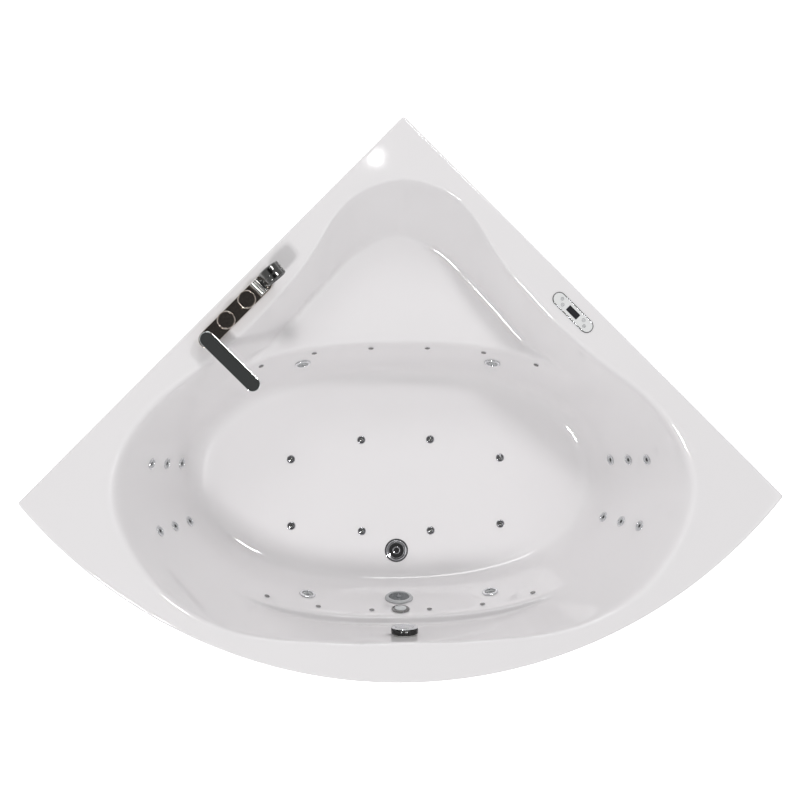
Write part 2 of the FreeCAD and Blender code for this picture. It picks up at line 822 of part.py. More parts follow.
apron_thickness = 4.0
apron_gap = 0.5
apron_bottom = 16.0
apron_flange = 18.0
bracket_places = [380.0, 1180.0]     # along each wall from the corner of the room
bracket_width = 60.0
bracket_thickness = 3.0
bracket_drop = 70.0
bracket_tongue = 22.0
bracket_hole_radius = 4.0
bracket_hole_drop = 45.0


def apron_panel():
    """Curved front panel with folded edges, tucked behind the lip."""
    outer = front_radius - shell_thickness - apron_gap
    top = rim_height - shell_thickness - apron_gap
    low = V(0, front_centre_y, apron_bottom)
    high = V(0, front_centre_y, top - apron_thickness)
    sheet = [
        tube(low, UP, front_radius, outer - apron_thickness, top - apron_bottom),
        tube(low, UP, front_radius, outer - apron_flange, apron_thickness),
        tube(high, UP, front_radius, outer - apron_flange, apron_thickness),
    ]
    keep = Part.Face(plan_outline(0).makeOffset2D(-shell_thickness - apron_gap)).extrude(V(0, 0, rim_height))
    return joined([ring.common(keep) for ring in sheet])


def wall_brackets():
    """Brackets screwed to the walls that carry and hold the lip."""
    lip_bottom = -lip_depth
    out = bracket_thickness + shell_thickness + 0.3
    profile = [
        (0, lip_bottom - bracket_drop), (0, lip_bottom), (shell_thickness + 0.3, lip_bottom),
        (shell_thickness + 0.3, lip_bottom + bracket_tongue), (out, lip_bottom + bracket_tongue),
        (out, lip_bottom - bracket_thickness), (bracket_thickness, lip_bottom - bracket_thickness),
        (bracket_thickness, lip_bottom - bracket_drop), (0, lip_bottom - bracket_drop),
    ]
    brackets = []
    for side in (-1, 1):
        for along in bracket_places:
            site = deck_site(side, along, 0.0)
            points = [V(-bracket_width / 2.0, -depth, z) for depth, z in profile]
            plate = Part.Face(Part.makePolygon(points)).extrude(V(bracket_width, 0, 0))
            hole = rod(V(0, -20, lip_bottom - bracket_hole_drop), V(0, 1, 0), bracket_hole_radius, 40)
            brackets.append(placed(plate.cut(hole), site))
    return Part.makeCompound(brackets)


# ---------------------------------------------------------------- pump, blower and control box

shelf_thickness = 16.0
shelf_back_y = 500.0
pump_y = 298.0
pump_axis_height = 236.0
motor_start_x = -45.0
motor_length = 175.0
motor_radius = 60.0
fin_height = 8.0
fin_count = 20
fan_cover_length = 48.0
fan_cover_radius = 69.0
volute_radius = 80.0
volute_length = 75.0
volute_wall = 8.0
shaft_radius = 7.0
impeller_radius = 60.0
fan_radius = 58.0
pump_port_radius = 20.0
pump_inlet_x = -170.0
blower_x = 120.0
blower_y = 430.0
blower_radius = 54.0
blower_height = 130.0
control_box_low = (-205.0, 395.0)
control_box_high = (-45.0, 485.0)
control_box_height = 125.0
control_box_wall = 3.0
gland_bore_radius = 5.0
gland_radius = 10.0
gland_length = 18.0
gland_height = 60.0
gland_spacing = 70.0
shelf_top = rail_top + shelf_thickness
ALONG_X = V(1, 0, 0)
pump_axis = V(motor_start_x, pump_y, pump_axis_height)


def pump_shelf():
    """Board on the back rails that carries the pump, the blower and the control box."""
    reach = cross_rail_x + half_rail
    board = box((-reach, shelf_front_y, rail_top), (reach, shelf_back_y, shelf_top))
    holes = [
        rod(V(pump_inlet_x, pump_y, 0), UP, pump_port_radius + 5.0, rim_height),
        rod(V(air_riser_x, blower_y, 0), UP, air_pipe_radius + 4.0, rim_height),
    ]
    return board.cut(holes)


def pump_motor():
    """Motor with cooling fins along it, on its foot, with the terminal box on top."""
    points = []
    for fin in range(fin_count):
        middle = 360.0 * fin / fin_count
        for turn, radius in ((-5.5, 0.0), (-2.5, fin_height), (2.5, fin_height), (5.5, 0.0)):
            angle = math.radians(middle + turn)
            reach = motor_radius + radius
            points.append(pump_axis + V(0, reach * math.cos(angle), reach * math.sin(angle)))
    points.append(points[0])
    finned = Part.Face(Part.makePolygon(points)).extrude(V(motor_length, 0, 0))
    flange = rod(pump_axis, ALONG_X, motor_radius + fin_height + 4.0, 12.0)
    foot = box(
        (motor_start_x + 25.0, pump_y - 55.0, shelf_top),
        (motor_start_x + motor_length - 25.0, pump_y + 55.0, pump_axis_height - motor_radius + 15.0),
    )
    top = pump_axis_height + motor_radius
    terminal_box = box(
        (motor_start_x + 50.0, pump_y - 35.0, top - 10.0), (motor_start_x + 130.0, pump_y + 35.0, top + 35.0)
    )
    bore = rod(pump_axis, ALONG_X, shaft_radius + running_gap, motor_length)
    return joined([finned, flange, foot, terminal_box]).cut(bore)


def pump_volute():
    """Wet end: round casing with the inlet on its axis and the outlet at its top."""
    start = V(motor_start_x - volute_length, pump_y, pump_axis_height)
    shell = joined([
        rod(start, ALONG_X, volute_radius, volute_length),
        rod(V(pump_inlet_x, pump_y, pump_axis_height), ALONG_X, pump_port_radius + 4.0,
            start.x - pump_inlet_x + 1.0),
        rod(V(pump_outlet_x, pump_y, pump_axis_height), UP, pump_port_radius, volute_radius + 12.0),
    ])
    chamber = rod(start + V(volute_wall, 0, 0), ALONG_X, volute_radius - 12.0,
                  volute_length - volute_wall - 17.0)
    hole = rod(start, ALONG_X, shaft_radius + running_gap, volute_length)
    return shell.cut([chamber, hole])


def pump_shaft():
    """Shaft from the impeller through the motor to the fan."""
    start = motor_start_x - volute_length + volute_wall + 6.0
    end = motor_start_x + motor_length + fan_cover_length - 8.0
    return rod(V(start, pump_y, pump_axis_height), ALONG_X, shaft_radius, end - start)


def bladed_wheel(start_x, radius, hub_radius, disc, blade_width, blade_count, blade_lean):
    """A disc with a hub and leaning blades, bored for the shaft."""
    start = V(start_x, pump_y, pump_axis_height)
    pieces = [rod(start, ALONG_X, radius, disc), rod(start, ALONG_X, hub_radius, disc + blade_width)]
    for blade in range(blade_count):
        plate = box((0, hub_radius - 3.0, -1.5), (disc + blade_width, radius - 3.0, 1.5))
        plate.rotate(V(0, hub_radius, 0), ALONG_X, blade_lean)
        plate.rotate(V(0, 0, 0), ALONG_X, 360.0 * blade / blade_count)
        plate.translate(start)
        pieces.append(plate)
    return joined(pieces).cut(rod(start, ALONG_X, shaft_radius, disc + blade_width))


def pump_fan_cover():
    """Cover over the motor's fan, with air slots in its end."""
    start = pump_axis + V(motor_length, 0, 0)
    cup = rod(start, ALONG_X, fan_cover_radius, fan_cover_length)
    hollow = rod(start, ALONG_X, fan_cover_radius - 3.0, fan_cover_length - 3.0)
    end = start.x + fan_cover_length
    slots = []
    for rise in (-40.0, -20.0, 0.0, 20.0, 40.0):
        half = math.sqrt((fan_cover_radius - 10.0) ** 2 - (abs(rise) + 4.0) ** 2)
        low = pump_axis_height + rise - 4.0
        slots.append(box((end - 10.0, pump_y - half, low), (end + 1.0, pump_y + half, low + 8.0)))
    return cup.cut([hollow] + slots)


def blower():
    """Sealed air blower: canister with a bevelled top and its outlet."""
    base = V(blower_x, blower_y, shelf_top)
    return joined([
        rod(base, UP, blower_radius, blower_height - 12.0),
        cone(base + V(0, 0, blower_height - 12.0), UP, blower_radius, blower_radius - 12.0, 12.0),
        rod(base + V(0, 0, 25.0), V(-1, 0, 0), air_pipe_radius + 3.0, blower_radius + 10.0),
    ])


def control_box():
    """Electronics housing, open to the front where its lid closes it."""
    low = (control_box_low[0], control_box_low[1] + control_box_wall, shelf_top)
    high = (control_box_high[0], control_box_high[1], shelf_top + control_box_height)
    wall = control_box_wall
    hollow = box(
        (low[0] + wall, low[1] - wall, low[2] + wall), (high[0] - wall, high[1] - wall, high[2] - wall)
    )
    case = box(low, high).cut(hollow)
    return case.cut([placed(rod(V(0, 0, -10.0), UP, gland_radius - 2.0, 20.0), site) for site in gland_sites()])


def gland_sites():
    """Places of the cable glands on the back of the control box, Z outwards."""
    middle = (control_box_low[0] + control_box_high[0]) / 2.0
    back = FreeCAD.Rotation(ALONG_X, -90.0)
    return [
        FreeCAD.Placement(V(middle + offset, control_box_high[1], shelf_top + gland_height), back)
        for offset in (-gland_spacing / 2.0, gland_spacing / 2.0)
    ]


def control_box_lid():
    """Front lid of the control box."""
    return box(
        (control_box_low[0], control_box_low[1], shelf_top),
        (control_box_high[0], control_box_low[1] + control_box_wall, shelf_top + control_box_height),
    )


def cable_glands():
    """Glands in the back of the control box, for the supply and for the keypad."""
    outside = joined([
        hexagon(V(0, 0, 0), 2.0 * gland_radius, gland_length * 0.4),
        rod(V(0, 0, 0), UP, gland_radius - 2.0, gland_length),
        rod(V(0, 0, -8.0), UP, gland_radius - 2.1, 8.0),
    ])
    gland = outside.cut(rod(V(0, 0, -8.0), UP, gland_bore_radius, 8.0 + gland_length))
    return Part.makeCompound([placed(gland, site) for site in gland_sites()])


# ---------------------------------------------------------------- water and air pipes

water_pipe_radius = 16.0
suction_pipe_radius = 20.0
suction_pipe_bend = 24.0
low_pipe_height = 45.0
jet_line_y = 199.0
jet_line_height = 250.0
side_line_x = 345.0
suction_run_x = 160.0
pump_outlet_x = -82.0
outlet_turn_height = pump_axis_height + volute_radius + 32.0
air_pipe_radius = 8.0
air_line_height = 84.0
air_riser_x = 40.0
floor_body_bottom = 74.0


def floor_jet_bodies():
    """Bodies of the floor jets under the bottom, with their stems through it."""
    bodies = []
    for x, y in floor_jet_places:
        for side in (-1, 1):
            base = V(side * x, y, floor_body_bottom)
            bodies.append(joined([
                rod(base, UP, floor_jet_body_radius, shell_bottom - floor_body_bottom),
                rod(base, UP, floor_jet_stem_radius, floor_height - floor_body_bottom),
            ]))
    return bodies


def floor_jet_cap():
    """Low bevelled cap over a floor jet."""
    return joined([
        rod(V(0, 0, 0), UP, floor_jet_cap_radius, 1.5),
        cone(V(0, 0, 1.5), UP, floor_jet_cap_radius, floor_jet_cap_radius - 4.0, 2.0),
    ])


def air_pipes():
    """Air line to the eight floor jets, and the riser from the blower with its tee."""
    front = sorted((side * x, y) for x, y in floor_jet_places if y < main_rail_y for side in (-1, 1))
    back = sorted((side * x, y) for x, y in floor_jet_places if y > main_rail_y for side in (-1, 1))
    runs = [
        (V(*first, air_line_height), V(*second, air_line_height))
        for row in (front, back) for first, second in zip(row, row[1:])
    ]
    runs.append((V(*front[2], air_line_height), V(*back[2], air_line_height)))
    pipes = [rod(start, end - start, air_pipe_radius, (end - start).Length) for start, end in runs]
    tee_start = V(air_riser_x - 2.0 * air_pipe_radius, back[2][1], air_line_height)
    pipes.append(rod(tee_start, ALONG_X, air_pipe_radius + 3.0, 4.0 * air_pipe_radius))
    outlet = V(blower_x - blower_radius - 10.0, blower_y, shelf_top + 25.0)
    pipes.append(pipe([
        outlet,
        V(air_riser_x, blower_y, outlet.z),
        V(air_riser_x, blower_y, air_line_height),
        V(air_riser_x, back[2][1], air_line_height),
    ], air_pipe_radius, 14.0))
    return joined(pipes).cut(floor_jet_bodies())


def suction_pipe():
    """Pipe from the suction under the bath to the pump's inlet."""
    start = suction_site.multVec(V(0, 0, -suction_body_depth))
    turn = suction_site.multVec(V(0, 0, -suction_body_depth - suction_pipe_bend - 0.5))
    points = [
        start,
        turn,
        V(suction_run_x, turn.y, turn.z),
        V(suction_run_x, turn.y, low_pipe_height),
        V(suction_run_x, pump_y, low_pipe_height),
        V(pump_inlet_x, pump_y, low_pipe_height),
        V(pump_inlet_x, pump_y, pump_axis_height - pump_port_radius - 4.0),
    ]
    return pipe(points, suction_pipe_radius, suction_pipe_bend)


def jet_pipes():
    """Pressure line from the pump to the four side jets and the backrest rows."""
    runs = [
        pipe([
            V(pump_outlet_x, pump_y, pump_axis_height + volute_radius + 12.0),
            V(pump_outlet_x, pump_y, outlet_turn_height),
            V(pump_outlet_x, jet_line_y, outlet_turn_height),
            V(pump_outlet_x, jet_line_y, jet_line_height),
        ], water_pipe_radius, 18.0),
    ]
    front = jet_sites[2].multVec(V(0, 0, jet_housing_end + 14.0))
    for side in (-1, 1):
        runs.append(pipe([
            V(pump_outlet_x, jet_line_y, jet_line_height),
            V(side * side_line_x, jet_line_y, jet_line_height),
            V(side * side_line_x, jet_line_y, low_pipe_height),
            V(side * side_line_x, front.y, low_pipe_height),
            V(side * side_line_x, front.y, jet_line_height),
            V(side * front.x, front.y, jet_line_height),
        ], water_pipe_radius, 24.0))
    for site in jet_sites[:2]:
        back = site.multVec(V(0, 0, jet_housing_end + 2.0))
        runs.append(rod(back, V(back.x, jet_line_y, jet_line_height) - back, water_pipe_radius - 2.0,
                        (V(back.x, jet_line_y, jet_line_height) - back).Length))
    for sites in back_jet_rows:
        low_end = sites[0].multVec(V(0, 0, manifold_radius - back_jet_depth))
        side = 1.0 if low_end.x > 0 else -1.0
        runs.append(pipe([
            low_end,
            V(low_end.x, low_end.y, low_pipe_height),
            V(side * side_line_x, low_end.y, low_pipe_height),
        ], manifold_radius, 20.0))
    line = joined(runs)
    bodies = [placed(jet_body(), site) for site in jet_sites]
    bodies += [back_jet_row(sites) for sites in back_jet_rows]
    return line.cut(bodies)


# ---------------------------------------------------------------- keypad on the right deck

keypad_along = 716.0
keypad_inset = 55.0
keypad_length = 107.0                # between the centres of its round ends
keypad_radius = 18.0
keypad_height = 3.0
keypad_body_depth = 26.0
display_size = (38.0, 16.0, 1.0)
button_radius = 5.0
button_play = 0.3
button_travel = 0.8
button_rise = 1.0
button_offsets = [(-48.0, 5.5), (-36.0, -5.5), (36.0, 5.5), (48.0, -5.5)]
keypad_site = deck_site(1, keypad_along, keypad_inset)


def keypad_housing():
    """Keypad with its frame on the deck, its body through it and pockets for display and buttons."""
    shift = FreeCAD.Placement(V(-keypad_length / 2.0, 0, 0), FreeCAD.Rotation())
    frame = placed(stadium(keypad_length, keypad_radius, 0.0, keypad_height), shift)
    body = placed(stadium(keypad_length, keypad_radius - 6.0, -keypad_body_depth, 0.0), shift)
    length, width, depth = display_size
    low = (-length / 2.0, -width / 2.0, keypad_height - depth)
    pockets = [box(low, (length / 2.0, width / 2.0, keypad_height + 5.0))]
    for x, y in button_offsets:
        pocket_floor = V(x, y, keypad_height - button_travel - 1.2)
        pockets.append(rod(pocket_floor, UP, button_radius + button_play, 10.0))
    return joined([frame, body]).cut(pockets)


def keypad_display():
    """Display window in its pocket."""
    length, width, depth = display_size
    return box((-length / 2.0, -width / 2.0, keypad_height - depth), (length / 2.0, width / 2.0, keypad_height))


def keypad_button(x, y):
    """Button standing proud of the keypad by its rise, with room below for its travel."""
    low = V(x, y, keypad_height - 1.1)
    return rod(low, UP, button_radius, 1.1 + button_rise)


# ---------------------------------------------------------------- tap on the left deck

tap_along = 819.0                    # the spout's pivot, along the wall from the corner of the room
tap_inset = 55.0
tap_radius = 24.5
tap_length = 215.0
tap_height = 40.0
knob_places = [73.0, 152.0]
knob_radius = 25.0
knob_height = 24.0
knob_gap = 0.5
tap_spindle_radius = 8.0
spindle_depth = 22.0
spout_reach = 172.0
spout_radius = 21.0
spout_thickness = 13.0
spout_lift = 5.0
handset_place = 212.0
handset_radius = 11.0
handset_play = 0.3
handset_drop = 80.0
handset_neck_place = 198.0
handset_neck_radius = 13.5
handset_neck_width = 44.0
handset_head_place = 249.0
handset_head_radius = 33.0
handset_head_width = 42.0
handset_head_turn = -6.0             # degrees from square across the tap
shank_places = [36.0, 112.0]
shank_radius = 10.5
shank_length = 70.0
shank_nut_across = 34.0
shank_nut_height = 8.0
tap_site = deck_site(-1, tap_along, tap_inset)


def tap_body():
    """Long block of the tap with the bores for the knobs, the spout and the hand shower."""
    block = stadium(tap_length, tap_radius, 0.0, tap_height)
    bores = [
        rod(V(x, 0, tap_height - spindle_depth - 2.0), UP, tap_spindle_radius + running_gap, 60.0)
        for x in [0.0] + knob_places
    ]
    bores.append(rod(V(handset_place, 0, -1.0), UP, handset_radius + handset_play, tap_height + 2.0))
    return block.cut(bores)


def tap_knob(x):
    """Round knob with a flat grip edge, on its spindle."""
    low = tap_height + knob_gap
    cap = joined([
        rod(V(x, 0, low), UP, knob_radius, knob_height - 2.0),
        cone(V(x, 0, low + knob_height - 2.0), UP, knob_radius, knob_radius - 2.0, 2.0),
    ])
    return joined([cap, rod(V(x, 0, tap_height - spindle_depth), UP, tap_spindle_radius, spindle_depth + 5.0)])


def spout():
    """Flat spout over the bath, with its column in the end of the tap."""
    low = tap_height + spout_lift
    plate = stadium(spout_reach, spout_radius, low, low + spout_thickness)
    plate.rotate(V(0, 0, 0), UP, -90.0)
    waterway = V(0, -spout_reach, low - 1.0)
    column = rod(V(0, 0, tap_height + knob_gap), UP, spout_radius - 3.0, spout_lift + 2.0)
    spindle = rod(V(0, 0, tap_height - spindle_depth), UP, tap_spindle_radius, spindle_depth + 3.0)
    return joined([plate, column, spindle]).cut(rod(waterway, UP, 9.0, 8.0))


def hand_shower():
    """Hand shower: handle down through the tap, neck, and a drum head that sprays sideways."""
    low = tap_height + knob_gap
    neck = V(handset_neck_place, -handset_neck_width / 2.0, low + handset_neck_radius + 1.0)
    across = V(0, 1, 0)
    bevel = 4.0
    start = -handset_head_width / 2.0
    rim = handset_head_radius - bevel
    centre = V(handset_head_place, 0, low + handset_head_radius + 2.0)
    head = joined([
        cone(V(0, start, 0), across, rim, handset_head_radius, bevel),
        rod(V(0, start + bevel, 0), across, handset_head_radius, handset_head_width - 2.0 * bevel),
        cone(V(0, -start - bevel, 0), across, handset_head_radius, rim, bevel),
    ]).cut(rod(V(0, start - 1.0, 0), across, rim - 2.0, 2.5))
    head.rotate(V(0, 0, 0), UP, handset_head_turn)
    head.translate(centre)
    bridge = box(
        (handset_neck_place, -8.0, neck.z - 9.0), (handset_head_place - 10.0, 8.0, neck.z + 9.0)
    )
    handle_start = V(handset_place, 0, low - handset_drop - tap_height)
    handle = rod(handle_start, UP, handset_radius, neck.z - handle_start.z)
    return joined([head, rod(neck, across, handset_neck_radius, handset_neck_width), bridge, handle])


def tap_shanks():
    """Threaded tails of the tap with their nuts under the deck."""
    under = -shell_thickness
    shanks = []
    for x in shank_places:
        tail = rod(V(x, 0, under - shank_length), UP, shank_radius, shank_length - under)
        nut = hexagon(V(x, 0, under - shank_nut_height), shank_nut_across, shank_nut_height)
        shanks.append(joined([tail, nut]))
    sleeve = tube(V(handset_place, 0, under - 30.0), UP, handset_radius + 3.5, handset_radius + handset_play,
                  30.0 - under)
    shanks.append(sleeve)
    return Part.makeCompound(shanks)


# ---------------------------------------------------------------- bath with its holes, and the whole


def drilled(radius, site, reach=60.0):
    """A drill through the wall at a site."""
    return placed(rod(V(0, 0, -reach), INWARD, radius + hole_clearance, 2.0 * reach), site)


def bath_shell():
    """The moulded bath with the holes of all its fittings."""
    drills = [drilled(jet_stem_radius, site) for site in jet_sites]
    drills += [drilled(back_jet_stem_radius, site, 20.0) for sites in back_jet_rows for site in sites]
    drills += [drilled(air_jet_stem_radius, site, 20.0) for site in air_jet_sites]
    drills.append(drilled(suction_stem_radius, suction_site))
    drills.append(drilled(light_stem_radius, light_site, 30.0))
    drills.append(drilled(overflow_stem_radius, overflow_site, 30.0))
    drills.append(rod(V(waste_x, waste_y, 0), UP, waste_throat_radius + hole_clearance, 200.0))
    for x, y in floor_jet_places:
        for side in (-1, 1):
            drills.append(rod(V(side * x, y, 0), UP, floor_jet_stem_radius + hole_clearance, 200.0))
    for x in shank_places:
        drills.append(placed(rod(V(x, 0, -20), UP, shank_radius + hole_clearance, 40.0), tap_site))
    drills.append(placed(rod(V(handset_place, 0, -20), UP, handset_radius + 4.0, 40.0), tap_site))
    keypad_hole = stadium(keypad_length, keypad_radius - 5.5, -20.0, 20.0)
    keypad_hole.translate(V(-keypad_length / 2.0, 0, 0))
    drills.append(placed(keypad_hole, keypad_site))
    return bath_blank().cut(drills)


def everything():
    """Every node by name."""
    nodes = {
        "bath_shell": bath_shell(),
        "base_board": base_board(),
        "frame_rails": frame_rails(),
        "frame_uprights": frame_uprights(),
        "foot_lock_nuts": foot_lock_nuts(),
        "wall_brackets": wall_brackets(),
        "apron_panel": apron_panel(),
        "pump_shelf": pump_shelf(),
        "pump_motor": pump_motor(),
        "pump_volute": pump_volute(),
        "pump_fan_cover": pump_fan_cover(),
        "pump_shaft": pump_shaft(),
        "pump_impeller": bladed_wheel(
            motor_start_x - volute_length + volute_wall + 8.0, impeller_radius, 14.0, 5.0, 14.0, 6, 35.0
        ),
        "pump_fan": bladed_wheel(
            motor_start_x + motor_length + 12.0, fan_radius, 16.0, 3.0, 16.0, 7, 0.0
        ),
        "blower": blower(),
        "control_box": control_box(),
        "control_box_lid": control_box_lid(),
        "cable_glands": cable_glands(),
        "jet_bodies": Part.makeCompound([placed(jet_body(), site) for site in jet_sites]),
        "jet_trims": Part.makeCompound([placed(jet_trim(), site) for site in jet_sites]),
        "back_jet_bodies": Part.makeCompound([back_jet_row(sites) for sites in back_jet_rows]),
        "back_jet_trims": Part.makeCompound(
            [placed(back_jet_trim(), site) for sites in back_jet_rows for site in sites]
        ),
        "side_air_jets": Part.makeCompound([placed(air_jet(), site) for site in air_jet_sites]),
        "floor_jet_bodies": Part.makeCompound(floor_jet_bodies()),
        "floor_jet_caps": Part.makeCompound([
            placed(floor_jet_cap(), FreeCAD.Placement(V(side * x, y, floor_height), FreeCAD.Rotation()))
            for x, y in floor_jet_places for side in (-1, 1)
        ]),
        "suction_body": placed(suction_body(), suction_site),
        "suction_cover": placed(suction_cover(), suction_site),
        "light_housing": placed(light_housing(), light_site),
        "light_lens": placed(light_lens(), light_site),
        "overflow_body": placed(overflow_body(), overflow_site),
        "overflow_knob": placed(overflow_knob(), overflow_site),
        "overflow_pipe": overflow_pipe(),
        "waste_flange": waste_flange(),
        "waste_body": waste_body(),
        "drain_plug": drain_plug(),
        "trap": trap(),
        "suction_pipe": suction_pipe(),
        "jet_pipes": jet_pipes(),
        "air_pipes": air_pipes(),
        "keypad_housing": placed(keypad_housing(), keypad_site),
        "keypad_display": placed(keypad_display(), keypad_site),
        "tap_body": placed(tap_body(), tap_site),
        "flow_knob": placed(tap_knob(knob_places[0]), tap_site),
        "temperature_knob": placed(tap_knob(knob_places[1]), tap_site),
        "spout": placed(spout(), tap_site),
        "hand_shower": placed(hand_shower(), tap_site),
        "tap_shanks": placed(tap_shanks(), tap_site),
    }
    for number, site in enumerate(jet_sites, 1):
        nodes["jet_nozzle_%d" % number] = placed(jet_nozzle(), site)
    for number, (x, y) in enumerate(foot_places, 1):
        nodes["leveling_foot_%d" % number] = leveling_foot(x, y)
    for number, (x, y) in enumerate(button_offsets, 1):
        nodes["keypad_button_%d" % number] = placed(keypad_button(x, y), keypad_site)
    return nodes


def main():
    """Write one file per node."""
    os.makedirs("parts", exist_ok=True)
    for name, shape in everything().items():
        shape.exportStep("parts/%s.step" % name)
        print("%-20s %2d solid(s) %10.1f cm3" % (name, len(shape.Solids), shape.Volume / 1000.0))


if __name__ == "__main__":
    main()
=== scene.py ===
"""Looks of a corner bath with massage jets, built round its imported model.

Lengths are in metres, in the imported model's own frame: X to the right seen from the room, Y towards the
corner of the walls, Z up.
"""

import json
import logging
import math
from dataclasses import dataclass, field
from enum import Enum
from typing import Callable, Iterable, Optional, Sequence

import bpy
import numpy as np
from mathutils import Euler, Matrix, Vector

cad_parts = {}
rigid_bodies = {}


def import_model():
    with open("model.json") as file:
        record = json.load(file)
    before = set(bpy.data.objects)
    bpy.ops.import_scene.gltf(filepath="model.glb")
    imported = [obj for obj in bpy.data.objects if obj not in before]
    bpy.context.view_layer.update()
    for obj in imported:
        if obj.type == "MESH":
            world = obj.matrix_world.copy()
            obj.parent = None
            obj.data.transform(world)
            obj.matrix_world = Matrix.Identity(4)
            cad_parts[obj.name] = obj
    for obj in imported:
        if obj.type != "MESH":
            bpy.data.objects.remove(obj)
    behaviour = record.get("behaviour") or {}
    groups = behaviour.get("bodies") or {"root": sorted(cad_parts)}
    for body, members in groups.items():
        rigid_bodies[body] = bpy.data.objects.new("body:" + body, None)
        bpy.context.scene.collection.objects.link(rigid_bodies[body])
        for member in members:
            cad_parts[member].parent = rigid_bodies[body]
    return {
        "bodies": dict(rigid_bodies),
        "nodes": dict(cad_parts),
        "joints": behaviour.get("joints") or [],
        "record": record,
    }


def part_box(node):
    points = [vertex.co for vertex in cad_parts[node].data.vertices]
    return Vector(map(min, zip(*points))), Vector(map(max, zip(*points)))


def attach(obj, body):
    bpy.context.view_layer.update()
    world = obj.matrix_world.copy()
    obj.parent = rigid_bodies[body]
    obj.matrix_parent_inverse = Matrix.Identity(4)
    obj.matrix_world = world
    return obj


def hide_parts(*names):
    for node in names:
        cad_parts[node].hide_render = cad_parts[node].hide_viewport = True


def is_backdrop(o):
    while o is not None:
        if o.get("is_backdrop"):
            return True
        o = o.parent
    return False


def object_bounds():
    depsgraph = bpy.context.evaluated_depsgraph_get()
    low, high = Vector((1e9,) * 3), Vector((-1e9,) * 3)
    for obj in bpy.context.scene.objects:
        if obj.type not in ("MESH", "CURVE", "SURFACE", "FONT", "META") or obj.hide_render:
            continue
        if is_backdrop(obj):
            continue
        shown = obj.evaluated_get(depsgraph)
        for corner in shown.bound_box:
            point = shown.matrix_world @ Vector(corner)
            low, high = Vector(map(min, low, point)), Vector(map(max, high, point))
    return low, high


Point2 = tuple[float, float]
Colour = tuple[float, float, float]
log = logging.getLogger("bath")

BATH = "bath"
MM = 0.001


# ---------------------------------------------------------------- finishes


class Grain(Enum):
    """Kinds of unevenness that a finish can have."""

    CLOUDS = "clouds"
    BRUSHED = "brushed"
    TURNED = "turned"
    BOARD = "board"


@dataclass(frozen=True)
class Finish:
    """A procedural finish: a base colour and gloss, both uneven in the way of its grain."""

    name: str
    colour: Colour
    roughness: float
    metallic: float = 0.0
    coat: float = 0.0
    transmission: float = 0.0
    grain: Grain = Grain.CLOUDS
    grain_size: float = 0.02
    colour_spread: float = 0.02
    roughness_spread: float = 0.03
    bump: float = 0.05
    bump_depth: float = 0.0001

    def _pattern(self, tree: bpy.types.NodeTree) -> bpy.types.NodeSocket:
        """Add the grain's texture.

        Args:
            tree: The material's node tree.

        Returns:
            The socket that carries the pattern from 0 to 1.
        """
        place = tree.nodes.new("ShaderNodeTexCoord")
        mapping = tree.nodes.new("ShaderNodeMapping")
        stretch = {
            Grain.CLOUDS: (1.0, 1.0, 1.0),
            Grain.BRUSHED: (0.06, 1.0, 1.0),
            Grain.TURNED: (1.0, 1.0, 12.0),
            Grain.BOARD: (0.12, 1.0, 1.0),
        }[self.grain]
        mapping.inputs["Scale"].default_value = [part / self.grain_size for part in stretch]
        noise = tree.nodes.new("ShaderNodeTexNoise")
        noise.inputs["Scale"].default_value = 1.0
        noise.inputs["Detail"].default_value = 4.0
        noise.inputs["Roughness"].default_value = 0.55
        if self.grain is Grain.BOARD:
            noise.inputs["Distortion"].default_value = 0.8
        tree.links.new(place.outputs["Object"], mapping.inputs["Vector"])
        tree.links.new(mapping.outputs["Vector"], noise.inputs["Vector"])
        return noise.outputs["Fac"]

    def material(self) -> bpy.types.Material:
        """Make the finish's material, once for all the pieces that have it.

        Returns:
            The material.
        """
        made = bpy.data.materials.get(self.name)
        if made:
            return made
        made = bpy.data.materials.new(self.name)
        made.use_nodes = True
        made.diffuse_color = (*self.colour, 1.0)
        tree = made.node_tree
        shader = tree.nodes["Principled BSDF"]
        shader.inputs["Metallic"].default_value = self.metallic
        shader.inputs["Coat Weight"].default_value = self.coat
        shader.inputs["Coat Roughness"].default_value = 0.03
        shader.inputs["Transmission Weight"].default_value = self.transmission
        pattern = self._pattern(tree)
        ramp = tree.nodes.new("ShaderNodeValToRGB")
        ramp.color_ramp.elements[0].position = 0.25
        ramp.color_ramp.elements[1].position = 0.75
        low = [part * (1.0 - self.colour_spread) for part in self.colour]
        high = [min(1.0, part * (1.0 + self.colour_spread)) for part in self.colour]
        ramp.color_ramp.elements[0].color = (*low, 1.0)
        ramp.color_ramp.elements[1].color = (*high, 1.0)
        tree.links.new(pattern, ramp.inputs["Fac"])
        tree.links.new(ramp.outputs["Color"], shader.inputs["Base Color"])
        gloss = tree.nodes.new("ShaderNodeMapRange")
        gloss.inputs["From Min"].default_value = 0.25
        gloss.inputs["From Max"].default_value = 0.75
        gloss.inputs["To Min"].default_value = max(0.0, self.roughness - self.roughness_spread)
        gloss.inputs["To Max"].default_value = self.roughness + self.roughness_spread
        tree.links.new(pattern, gloss.inputs["Value"])
        tree.links.new(gloss.outputs["Result"], shader.inputs["Roughness"])
        bump = tree.nodes.new("ShaderNodeBump")
        bump.inputs["Strength"].default_value = self.bump
        bump.inputs["Distance"].default_value = self.bump_depth
        tree.links.new(pattern, bump.inputs["Height"])
        tree.links.new(bump.outputs["Normal"], shader.inputs["Normal"])
        return made


